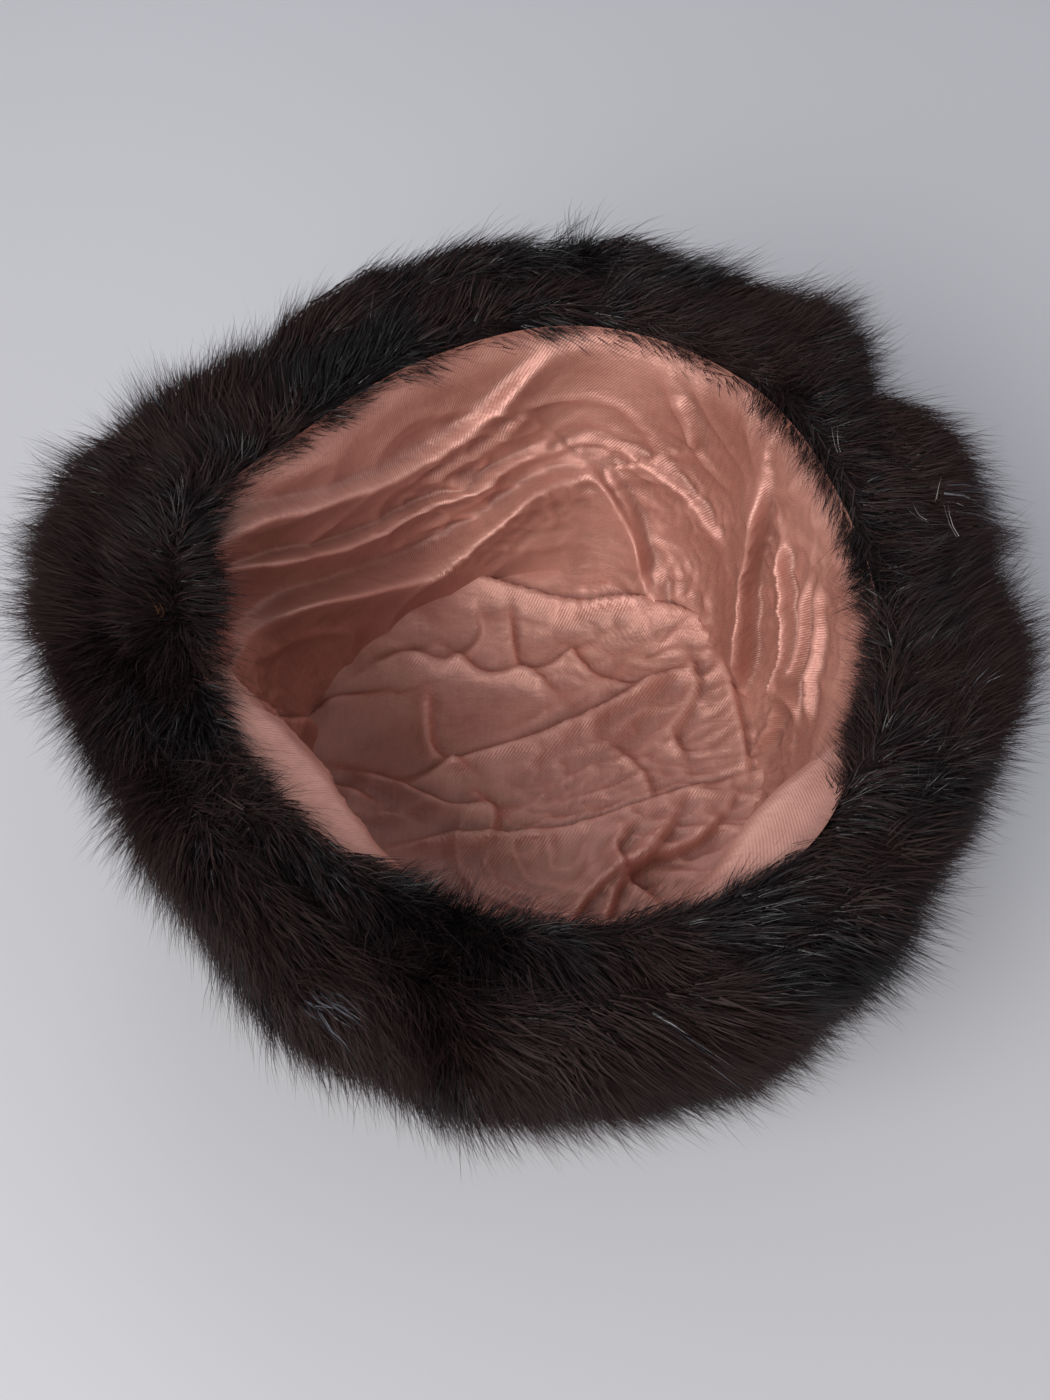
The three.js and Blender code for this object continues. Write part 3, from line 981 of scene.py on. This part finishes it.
def crease_lift(points, outward, crease):
    """How far each point moves for one crease, in mm. outward is each point's unit normal.

    The crest rises along the normal and leans over its steep side.
    """
    height, gentle, steep, path = crease
    path = smooth_path(np.array(path, float))
    best = np.full(len(points), 1e9)
    signed = np.zeros(len(points))
    along = np.zeros(len(points))
    across = np.zeros_like(points)
    steps = np.linalg.norm(np.diff(path, axis=0), axis=1)
    reached = np.concatenate([[0], np.cumsum(steps)])
    for a, b, start, step in zip(path[:-1], path[1:], reached, steps):
        way = (b - a) / step
        t = np.clip((points - a) @ way, 0, step)
        gap = points - (a + t[:, None] * way)
        distance = np.linalg.norm(gap, axis=1)
        closer = distance < best
        best[closer] = distance[closer]
        aside = unit(np.cross(way, outward))
        signed[closer] = (np.sign(np.einsum("ij,ij->i", aside, gap)) * distance)[closer]
        along[closer] = (start + t[closer]) / reached[-1]
        across[closer] = aside[closer]
    taper = smooth(along / 0.18) * smooth((1 - along) / 0.18)
    near = np.where(signed > 0, np.exp(-np.abs(signed) / gentle), np.exp(-((signed / steep) ** 2)))
    rise = height * near * (0.25 + 0.75 * taper) * (np.abs(signed) < 6 * gentle)
    return outward * rise[:, None] - across * (LEAN * smooth((height - 3) / 6) * rise)[:, None]


def smooth_path(path, fine=6):
    """The same path with its corners rounded."""
    padded = np.vstack([2 * path[0] - path[1], path, 2 * path[-1] - path[-2]])
    out = []
    for i in range(len(path) - 1):
        a, b, c, d = padded[i : i + 4]
        for t in np.arange(fine) / fine:
            out.append(b + 0.5 * t * (c - a + t * (2 * a - 5 * b + 4 * c - d + t * (3 * (b - c) + d - a))))
    out.append(path[-1])
    return np.array(out)


WRINKLE_SEED = 7  # noise_vector starts from the clock unless it is seeded


def wrinkles(points):
    """The cloth's looseness and its small sharp-backed wrinkles, in mm."""
    noise.seed_set(WRINKLE_SEED)
    rise = np.zeros(len(points))
    for i, p in enumerate(points):
        spot = Vector((0.5 * (0.94 * p[0] + 0.34 * p[1]), 0.94 * p[1] - 0.34 * p[0], p[2]))
        bend = noise.noise_vector(spot / 34.0) * 12.0
        long = 1 - abs(noise.noise((spot + bend) / 26.0)) * 3.0
        fine = 1 - abs(noise.noise((spot + bend * 0.6) / 9.0 + Vector((9, 4, 2)))) * 3.0
        tiny = 1 - abs(noise.noise((spot + bend * 0.4) / 5.2 + Vector((2, 7, 6)))) * 3.0
        low = 1 - smooth((p[2] - 30) / 40)
        where = smooth(1.6 * noise.noise(spot / 38.0 + Vector((5, 8, 1))) + 0.3 + 0.35 * low)
        loose = 1 + noise.noise(spot / 45.0 + Vector((3, 1, 7)))
        small = 1.1 * max(0, fine) ** 2 + (0.3 + 0.7 * low) * max(0, tiny) ** 2
        rise[i] = 1.3 * max(0, long) ** 2 + where * small + 3.0 * loose
    # the side doesn't reach into the corner with the tip, but crosses it
    return rise + 6.5 * np.exp(-((from_corner(points) / 16) ** 2))


def from_corner(points):
    """How far (mm) points on the lining are from the corner where the side meets the tip."""
    height, reach = points[:, 2] - TIP_HEIGHT, np.hypot(points[:, 0], points[:, 1])
    return np.where(height > 1, height, TIP_RADIUS - reach)


COLUMNS = 480  # of the lining's side; the tip is a square grid wrapped into a disc that joins them
WALL_ROWS = 84
CELLS = COLUMNS // 4
LINING_TOP = 109  # mm, where the lining goes under the rolled rim
TIP_LIFT = 0.4  # mm, how far the cloth lies above the wadding of the tip
CLOTH_RADIUS = 0.09  # metres, at which the side's cloth is laid out flat


def lining_side():
    """Points of the lining's side, column by column from the rim down, in mm from the hat's axis."""
    azimuth = -45 + np.arange(COLUMNS)[:, None] * 360 / COLUMNS
    height = np.linspace(LINING_TOP, TIP_HEIGHT + TIP_LIFT, WALL_ROWS)
    drop = (LINING_TOP - height) / (LINING_TOP - TIP_HEIGHT)
    # on the near side the cloth lies flat under the fur and falls from a ledge further in
    ledge = bell(azimuth, 222, 22) + 0.9 * bell(azimuth, 312, 16)
    shelf = 6.5 * (1 - smooth(drop / 0.05)) - 8 * smooth(drop / 0.06) * (1 - smooth((drop - 0.075) / 0.35))
    gather = -1.5 * smooth(drop / 0.1) * (1 - smooth((drop - 0.1) / 0.5))
    radius = inside_radius(azimuth, height) + ledge * shelf + gather
    angle = np.radians(azimuth)
    height = np.broadcast_to(height, radius.shape)
    return np.stack([radius * np.cos(angle), radius * np.sin(angle), height], -1)


def lining_disc():
    """Points of the tip: a square grid of CELLS x CELLS wrapped into a disc, in mm from the hat's axis."""
    line = np.linspace(-1, 1, CELLS + 1)
    a, b = np.meshgrid(line, line, indexing="ij")
    wide = np.abs(a) > np.abs(b)
    reach = np.where(wide, a, b)
    safe = np.where(reach == 0, 1, reach)
    turn = np.where(wide, math.pi / 4 * b / safe, math.pi / 2 - math.pi / 4 * a / safe)
    flat = np.stack([reach * np.cos(turn), reach * np.sin(turn)], -1) * TIP_RADIUS
    return np.concatenate([flat, np.full((*a.shape, 1), TIP_HEIGHT + TIP_LIFT)], -1)


def lining_corners():
    """The number in the whole lining of each point of the tip's grid; its edge points belong to the side."""
    column = np.zeros((CELLS + 1, CELLS + 1), int)
    step = np.arange(CELLS + 1)
    column[CELLS, :] = step
    column[:, CELLS] = 2 * CELLS - step
    column[0, :] = 3 * CELLS - step
    column[:, 0] = 3 * CELLS + step
    column[CELLS, 0] = 0
    numbers = (column % COLUMNS) * WALL_ROWS + WALL_ROWS - 1
    inner = np.arange((CELLS - 1) ** 2).reshape(CELLS - 1, CELLS - 1)
    numbers[1:-1, 1:-1] = COLUMNS * WALL_ROWS + inner
    return numbers


def creased(made):
    """Moves the lining's points into the hat by all creases and wrinkles, less near the rim."""
    mesh = made.data
    points, out = positions(mesh), normals(mesh)
    calm = smooth((LINING_TOP - points[:, 2]) / 12)[:, None] * bpy.context.scene.hat_lining.crease_height
    room = 0.35 + 0.65 * smooth(from_corner(points) / 18)[:, None]
    lifts = sum(crease_lift(points, out, crease) for crease in CREASES)
    move = out * wrinkles(points)[:, None] + room * lifts
    points = points + move * calm
    # the cloth can't go into the wadding
    azimuth = np.degrees(np.arctan2(points[:, 1], points[:, 0]))
    radius = np.hypot(points[:, 0], points[:, 1])
    limit = inside_radius(azimuth, points[:, 2]) + 0.6
    below = points[:, 2] < 98
    points[:, :2] *= np.where(below & (radius > limit), limit / radius, 1)[:, None]
    points[:, 2] = np.maximum(points[:, 2], TIP_HEIGHT + 0.1)
    mesh.vertices.foreach_set("co", points.ravel())
    mesh.update()


def relief(mesh, passes=14):
    """How far (mm) each point stands above the cloth around it: ridges positive, hollows negative."""
    points = positions(mesh)
    ends = np.zeros(2 * len(mesh.edges), int)
    mesh.edges.foreach_get("vertices", ends)
    a, b = ends.reshape(-1, 2).T
    count = np.bincount(ends, minlength=len(points))[:, None]
    level = points.copy()
    for _ in range(passes):
        total = np.zeros_like(level)
        np.add.at(total, a, level[b])
        np.add.at(total, b, level[a])
        level = 0.5 * level + 0.5 * total / count
    return np.einsum("ij,ij->i", points - level, normals(mesh))


WAVE = 0.314  # a wave texture of scale 1 repeats over this length
LINING_SHEEN = (1.0, 0.75, 0.66, 1.0)


def satin_material():
    found = bpy.data.materials.get("satin_twill")
    if found:
        return found
    lining = bpy.context.scene.hat_lining

    def build(kit):
        uv = kit.node("ShaderNodeUVMap", {"uv_map": "cloth"})
        turned = kit.node("ShaderNodeMapping", inputs={"Vector": uv, "Rotation": (0, 0, math.radians(38))})
        lines = {"Scale": WAVE / lining.twill_pitch, "Distortion": 0.6, "Detail": 1.0, "Detail Scale": 2.0}
        bands = {"wave_type": "BANDS", "bands_direction": "X"}
        twill = kit.node("ShaderNodeTexWave", bands, {"Vector": turned, **lines})
        along = kit.node("ShaderNodeMapping", inputs={"Vector": uv, "Scale": (900, 120, 1)})
        thread = kit.node("ShaderNodeTexNoise", inputs={"Vector": along, "Scale": 1.0, "Detail": 2.0})
        rubbed = object_noise(kit, 22.0, 5.0, 0.6)
        worn = ramp(kit, rubbed, [(0.35, (0, 0, 0)), (0.7, (1, 1, 1))])
        base = kit.mix(worn, rgba(lining.satin_rubbed_and_shade), rgba(lining.satin))
        # Painted shade and painted highlight: by the relief attribute the satin is darkened in the hollows of
        # the creases, where shade falls, and lightened on their ridges, where light falls.
        stands = kit.node("ShaderNodeAttribute", {"attribute_name": "relief"}, output=2)
        painted_crease_shade = ramp(kit, 0.5 - stands * 0.5, [(0.5, (0, 0, 0)), (1.0, (1, 1, 1))])
        painted_ridge_highlight = ramp(kit, 0.5 + stands * 0.5, [(0.55, (0, 0, 0)), (1.0, (1, 1, 1))])
        # painted shade: darker satin in the crease hollows
        base = kit.mix(painted_crease_shade * 0.75, base, rgba([0.45 * c for c in lining.satin_rubbed_and_shade]))
        # painted highlight: paler satin on the crease ridges
        base = kit.mix(painted_ridge_highlight * 0.4, base, rgba([min(1, 1.3 * c + 0.04) for c in lining.satin]))
        light = [min(1, c * 1.25) for c in lining.satin]
        colour = kit.mix(thread * 0.35, base, rgba(light))
        colour = kit.mix(twill * 0.13, colour, rgba(lining.satin_rubbed_and_shade))
        crinkle = object_noise(kit, 210.0, 4.0, 0.55, (0.55, 1.0, 1.0))
        height = twill * 0.14 + thread * 0.12 + crinkle * 1.5
        return {
            "Base Color": colour,
            "Roughness": 0.38 + rubbed * 0.2,
            "Normal": bump(kit, height, 0.42, 0.0011),
        }

    sheen = {"Sheen_Weight": 0.06, "Sheen_Roughness": 0.35, "Sheen_Tint": LINING_SHEEN}
    return material("satin_twill", build, Metallic=0.3, Specular_IOR_Level=0.6, **sheen)


def cloth_uv(made, flat, wrap):
    """Stores where each corner lies on the flat cloth, in metres."""
    mesh = made.data
    layer = mesh.uv_layers.new(name="cloth")
    for face in mesh.polygons:
        spots = flat[[mesh.loops[i].vertex_index for i in face.loop_indices]].copy()
        if wrap and spots[:, 0].max() - spots[:, 0].min() > 0.2:
            spots[spots[:, 0] < 0.2, 0] += wrap
        for loop, spot in zip(face.loop_indices, spots):
            layer.data[loop].uv = spot


class HAT_OT_lining(Operator):
    """Make the creased satin lining: the side and the tip"""

    bl_idname = "hat.lining"
    bl_label = "Satin lining"

    def execute(self, context):
        side, disc, numbers = lining_side(), lining_disc(), lining_corners()
        side_faces = [face[::-1] for face in grid_faces(COLUMNS, WALL_ROWS, wrap_rows=True)]
        whole_number = numbers.ravel().tolist()
        cells = grid_faces(CELLS + 1, CELLS + 1)
        disc_faces = [tuple(whole_number[i] for i in face[::-1]) for face in cells]
        points = np.concatenate([side.reshape(-1, 3), disc[1:-1, 1:-1].reshape(-1, 3)])
        whole = mesh_object("lining", points, side_faces + disc_faces)
        if normals(whole.data)[-1, 2] < 0:
            whole.data.flip_normals()
            whole.data.update()
        creased(whole)
        # The relief of each point drives the painted shade in the crease hollows and the painted highlights
        # on the ridges of the satin.
        stands = relief(whole.data)
        points = positions(whole.data) * MM
        points[:, 0] += CENTRE.x
        points[:, 1] += CENTRE.y
        around = np.radians(np.arange(COLUMNS) * 360 / COLUMNS)[:, None] * CLOTH_RADIUS
        steps = np.linalg.norm(np.diff(side, axis=1, prepend=side[:, :1]), axis=-1)
        down = np.cumsum(steps, axis=1) * MM
        flat = np.stack([np.broadcast_to(around, down.shape), down], -1)
        wrap = 2 * math.pi * CLOTH_RADIUS
        made = self.piece("lining_side", points, side_faces, flat, wrap, stands)
        finish_piece(made, "crown", "satin", "lining_back_panel", "lining_front_panel")
        flat = np.zeros((len(points), 2))
        flat[numbers.ravel()] = disc[..., :2].reshape(-1, 2) * MM
        made = self.piece("lining_tip_satin", points, disc_faces, flat, 0, stands)
        finish_piece(made, "crown", "satin", "lining_tip")
        bpy.data.objects.remove(whole)
        return {"FINISHED"}

    @staticmethod
    def piece(name, points, faces, spots, wrap, stands):
        used = sorted({i for face in faces for i in face})
        number = {old: new for new, old in enumerate(used)}
        made = mesh_object(name, points[used], [tuple(number[i] for i in face) for face in faces])
        cloth_uv(made, spots.reshape(-1, 2)[used], wrap)
        # relief: read by the satin to paint shade into the hollows and highlights onto the ridges
        store(made.data, "relief", "FLOAT", stands[used])
        made.data.materials.append(satin_material())
        return made


# ---------------------------------------------------------------- inner pieces


def wadding_material():
    def build(kit):
        fibre = object_noise(kit, 400.0, 5.0, 0.7)
        colour = ramp(kit, fibre, [(0.3, (0.62, 0.60, 0.54)), (0.7, (0.82, 0.80, 0.75))])
        return {"Base Color": colour, "Normal": bump(kit, fibre, 0.6, 0.001)}

    return material("wadding_fibre", build, Roughness=0.95)


def weave_material(name, light, dark, pitch):
    def build(kit):
        where = kit.node("ShaderNodeTexCoord", output="Object")
        lines = {"Vector": where, "Scale": WAVE / pitch}
        warp, weft = (kit.node("ShaderNodeTexWave", {"bands_direction": d}, lines) for d in ("X", "Z"))
        weave = warp * weft
        colour = kit.mix(weave, rgba(dark), rgba(light))
        return {"Base Color": colour, "Normal": bump(kit, weave, 0.5, 0.0004)}

    return material(name, build, Roughness=0.85)


def suede_material():
    def build(kit):
        nap = object_noise(kit, 700.0, 4.0, 0.7)
        cloud = object_noise(kit, 24.0, 3.0)
        stops = [(0.35, (0.012, 0.0075, 0.006)), (0.65, (0.030, 0.019, 0.014))]
        colour = ramp(kit, nap * 0.5 + cloud * 0.5, stops)
        return {"Base Color": colour, "Normal": bump(kit, nap, 0.5, 0.0006)}

    sheen = {"Sheen_Weight": 0.05, "Sheen_Roughness": 0.5}
    return material("suede_nap", build, Roughness=0.95, Specular_IOR_Level=0.15, **sheen)


def stud_material():
    def build(kit):
        worn = object_noise(kit, 900.0, 3.0)
        colour = ramp(kit, worn, [(0.4, (0.03, 0.028, 0.027)), (0.7, (0.09, 0.085, 0.08))])
        return {"Base Color": colour, "Roughness": 0.25 + worn * 0.3}

    return material("stud_lacquer", build, Metallic=1.0)


def flap_slab(name, flap, inner, outer, inset, hem, fine):
    """A closed slab along one flap between two offsets, inset at its ends and fold, hem at its edge (mm)."""
    start, end, _ = FLAPS[flap]
    azimuth = np.linspace(start + inset, end - inset, fine * int((end - start) / 3) + 1)
    rows = 9 * fine
    rings = []
    for a, bottom in zip(azimuth, free_edge(flap, azimuth)):
        height = np.linspace(bottom + hem, ROLL_BASE - inset, rows)
        crest = np.sqrt(np.clip(1 - np.linspace(-1, 1, rows) ** 8, 0, 1))
        middle, half = (inner + outer) / 2, (outer - inner) / 2
        offset = np.concatenate([middle + half * crest, middle - half * crest[::-1]])
        rings.append(place(a, offset, np.concatenate([height, height[::-1]])))
    made = loft(name, np.array(rings), False)
    weld(made)
    return turn_outward(made)


SIM_SCALE = 10.0  # cloth is simulated at ten times its size


def puff(made, cap, stitched, frames=14):
    """Swells a padded piece like a filled cloth bag, by no more than cap (mm), held where it is stitched."""
    before = positions(made.data)
    made.data.vertices.foreach_set("co", (before * SIM_SCALE).ravel())
    held = made.vertex_groups.new(name="stitches")
    held.add(np.flatnonzero(stitched).tolist(), 1.0, "REPLACE")
    cloth = made.modifiers.new("puff", "CLOTH")
    rules = cloth.settings
    rules.quality = 5
    rules.use_pressure = True
    rules.uniform_pressure_force = 4
    rules.vertex_group_mass = "stitches"
    rules.effector_weights.gravity = 0
    cloth.collision_settings.use_collision = False
    cloth.point_cache.frame_start, cloth.point_cache.frame_end = 1, frames
    for number in range(1, frames + 1):
        bpy.context.scene.frame_set(number)
    seen = made.evaluated_get(bpy.context.evaluated_depsgraph_get())
    after = positions(seen.data) / SIM_SCALE
    made.modifiers.remove(cloth)
    made.vertex_groups.clear()
    bpy.context.scene.frame_set(1)
    move = after - before
    far = np.maximum(np.linalg.norm(move, axis=1, keepdims=True), 1e-9)
    made.data.vertices.foreach_set("co", (before + move / far * np.minimum(far, cap * MM)).ravel())
    made.data.update()


def quilt_lines(points, pitch=16.0):
    """Which points lie on the stitching, every few degrees and every few mm of height."""
    azimuth, _, _ = polar(points)
    height = points[:, 2] / MM
    upright = np.abs((azimuth + pitch / 2) % pitch - pitch / 2) < 1.0
    level = np.abs((height + pitch / 2) % pitch - pitch / 2) < 1.6
    return upright | level


# Inner and outer offset, inset, hem and fineness of the slabs in a flap.
PADDING_SLAB = (17.7, 19.5, 4.5, 13, 2)
SUEDE_SLAB = (15.85, 16.75, 1.5, 2, 3)
SUEDE_RADIUS = 0.107  # metres, from the hat's axis to the backing
PUFF_CAP = 0.6  # mm


class HAT_OT_padding(Operator):
    """Make the quilted padding and the suede backing of the flaps, and the wadding behind the lining"""

    bl_idname = "hat.padding"
    bl_label = "Padding, suede and wadding"

    def execute(self, context):
        batting, suede = wadding_material(), suede_material()
        for flap, (start, end, _) in FLAPS.items():
            pad = flap_slab(f"{flap}_quilted_padding", flap, *PADDING_SLAB)
            puff(pad, PUFF_CAP, quilt_lines(positions(pad.data)))
            pad.data.materials.append(batting)
            finish_piece(pad, flap, "wadding", f"{flap}_padding")
            back = flap_slab(f"{flap}_suede", flap, *SUEDE_SLAB)
            roughen(back, (0.02, 0.00012, 2.0))
            back.data.materials.append(suede)
            finish_piece(back, flap, "suede", f"{flap}_backing")
            wide = math.radians(end - start - 2 * FLAP_TRIM) * SUEDE_RADIUS
        self.wadding("wadding_side", "wadding_batting_side", batting)
        self.wadding("wadding_tip", "wadding_batting_tip", batting)
        return {"FINISHED"}

    def wadding(self, node, name, batting):
        low, high = (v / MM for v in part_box(node))
        azimuth = np.arange(0, 360, 4.0)
        if node == "wadding_side":
            height = np.linspace(low.z + 0.3, high.z - 0.3, 16)
            crest = np.sqrt(np.clip(1 - np.linspace(-1, 1, 16) ** 10, 0, 1))
            offset = np.concatenate([2.6 + 1.35 * crest, 2.6 - 1.35 * crest[::-1]])
            height = np.concatenate([height, height[::-1]])
        else:
            reach = np.linspace(-TIP_RADIUS, (high.x - low.x) / 2 - TIP_RADIUS - 0.6, 14)
            crest = np.sqrt(np.clip(1 - np.linspace(0, 1, 14) ** 12, 0, 1))
            middle, half = (low.z + high.z) / 2, (high.z - low.z) / 2 - 0.15
            offset = np.concatenate([reach, reach[::-1]])
            height = np.concatenate([middle + half * crest, middle - half * crest[::-1]])
        made = loft(name, place(azimuth[:, None], offset, height), True)
        weld(made)
        turn_outward(made)
        roughen(made, (0.012, 0.00025, 4.0))
        made.data.materials.append(batting)
        finish_piece(made, "crown", "wadding", node)


# The tape along a flap's fold: half its arc in degrees, its offset and the heights of its edges in mm.
TAPE_HALF_ARC = 30
TAPE_OFFSET = 16.72
TAPE_EDGES = (98.5, 112.5)


class HAT_OT_fold_tapes(Operator):
    """Make the tape that joins each flap to the rim along its fold"""

    bl_idname = "hat.fold_tapes"
    bl_label = "Fold tapes"

    def execute(self, context):
        for flap, (start, end, _) in FLAPS.items():
            middle = (start + end) / 2
            azimuth = np.linspace(middle - TAPE_HALF_ARC, middle + TAPE_HALF_ARC, 61)
            points = place(azimuth[:, None], TAPE_OFFSET, np.linspace(*TAPE_EDGES, 15))
            made = mesh_object(f"{flap}_fold_tape", points, grid_faces(*points.shape[:2]))
            roughen(made, (0.006, 0.00012, 6.0))
            made.data.materials.append(underfur_material())
            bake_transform(made, "crown", flap, start=(0, 0, 0.0995), end=(0, 0, 0.1115))
            long = math.radians(2 * TAPE_HALF_ARC) * float(np.mean(rim_radius(azimuth)) + TAPE_OFFSET) * MM
        return {"FINISHED"}


class HAT_OT_inner_pieces(Operator):
    """Give the buckram, the stay tape and the press studs their finishes"""

    bl_idname = "hat.inner_pieces"
    bl_label = "Inner pieces"

    def execute(self, context):
        finishes = {
            "buckram": weave_material("buckram_weave", (0.50, 0.43, 0.31), (0.25, 0.20, 0.13), 0.0012),
            "tape": weave_material("tape_weave", (0.035, 0.028, 0.026), (0.012, 0.010, 0.009), 0.0008),
            "snap": stud_material(),
        }
        for name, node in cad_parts.items():
            for word, finish in finishes.items():
                if word in name:
                    node.data.materials.clear()
                    node.data.materials.append(finish)
        return {"FINISHED"}


# ---------------------------------------------------------------- stage


def floor_material():
    stage = bpy.context.scene.hat_stage

    def build(kit):
        cloud = object_noise(kit, 3.0, 3.0)
        darker = [c * 0.96 for c in stage.table]
        return {"Base Color": kit.mix(cloud, rgba(darker), rgba(stage.table))}

    return material("table_top", build, Roughness=0.45, Specular_IOR_Level=0.3)


# name: where it stands, what it points at, size, power and colour
LIGHTS = {
    "window_light": ((-0.66, -0.88, 1.02), (0, 0, 0.05), 1.2, 25, (1.0, 0.98, 0.96)),
    "back_light": ((-0.35, 1.15, 1.0), (0, 0, 0.08), 0.6, 3, (0.88, 0.93, 1.0)),
    "side_light": ((0.85, 0.1, 0.26), (0.25, 0, 0), 0.5, 1.3, (0.94, 0.96, 1.0)),
}
ROOM_COLOUR = (0.80, 0.82, 0.88, 1)
ROOM_STRENGTH = 0.42
TABLE_HALF = 8.0  # metres
VIEW_TARGET = (0, -0.03, 0.1)
FILM_HEIGHT = 36  # mm
LENS = 38.5714  # mm


def area_light(name, location, target, size, power, colour):
    data = bpy.data.lights.new(name, "AREA")
    data.shape = "DISK"
    data.size, data.energy, data.color = size, power, colour
    made = bpy.data.objects.new(name, data)
    made.location = location
    made.rotation_euler = (Vector(target) - Vector(location)).to_track_quat("-Z", "Y").to_euler()
    bpy.context.scene.collection.objects.link(made)


class HAT_OT_stage(Operator):
    """Make the table, the lights and the camera"""

    bl_idname = "hat.stage"
    bl_label = "Stage"

    def execute(self, context):
        scene = context.scene
        stage = scene.hat_stage
        corners = [(x * TABLE_HALF, y * TABLE_HALF, 0) for x, y in ((-1, -1), (1, -1), (1, 1), (-1, 1))]
        floor = mesh_object("table", corners, [(0, 1, 2, 3)])
        floor.data.materials.append(floor_material())

        world = bpy.data.worlds.new("room")
        world.use_nodes = True
        scene.world = world
        background = world.node_tree.nodes["Background"]
        background.inputs["Color"].default_value = ROOM_COLOUR
        background.inputs["Strength"].default_value = ROOM_STRENGTH
        scene.view_settings.view_transform = "Standard"
        for name, settings in LIGHTS.items():
            area_light(name, *settings)

        data = bpy.data.cameras.new("view")
        data.sensor_fit = "VERTICAL"
        data.sensor_height = FILM_HEIGHT
        data.lens = LENS
        data.clip_start = 0.01
        camera = bpy.data.objects.new("view", data)
        angle = stage.camera_elevation
        away = Vector((0, -math.cos(angle), math.sin(angle)))
        camera.location = Vector(VIEW_TARGET) + stage.camera_distance * away
        camera.rotation_euler = Euler((math.pi / 2 - angle, 0, 0))
        scene.collection.objects.link(camera)
        scene.camera = camera
        return {"FINISHED"}


class HAT_PT_panel(Panel):
    """Sidebar list of the hat's pieces"""

    bl_label = "Trapper hat"
    bl_idname = "HAT_PT_panel"
    bl_space_type = "VIEW_3D"
    bl_region_type = "UI"
    bl_category = "Hat"

    def draw(self, context):
        for group in ("hat_fur", "hat_lining", "hat_stage"):
            settings = getattr(context.scene, group)
            for name in settings.bl_rna.properties.keys():
                if name not in ("rna_type", "name"):
                    self.layout.prop(settings, name)
        for operator in OPERATORS:
            self.layout.operator(operator.bl_idname)


SETTINGS = {"hat_fur": HatFurSettings, "hat_lining": HatLiningSettings, "hat_stage": HatStageSettings}
OPERATORS = (
    HAT_OT_stage,
    HAT_OT_lining,
    HAT_OT_padding,
    HAT_OT_fold_tapes,
    HAT_OT_inner_pieces,
    HAT_OT_rim_fur,
    HAT_OT_crown_fur,
    HAT_OT_flap_fur,
    HAT_OT_stray_hairs,
)


def register():
    for made in (*SETTINGS.values(), *OPERATORS, HAT_PT_panel):
        bpy.utils.register_class(made)
    for name, group in SETTINGS.items():
        setattr(bpy.types.Scene, name, PointerProperty(type=group))


def unregister():
    for name in SETTINGS:
        delattr(bpy.types.Scene, name)
    for made in reversed((*SETTINGS.values(), *OPERATORS, HAT_PT_panel)):
        bpy.utils.unregister_class(made)


def main():
    register()
    bpy.ops.hat.stage()
    bpy.ops.hat.lining()
    bpy.ops.hat.padding()
    bpy.ops.hat.fold_tapes()
    bpy.ops.hat.inner_pieces()
    bpy.ops.hat.rim_fur()
    bpy.ops.hat.crown_fur()
    bpy.ops.hat.flap_fur()
    bpy.ops.hat.stray_hairs()


if __name__ == "__main__":
    main()
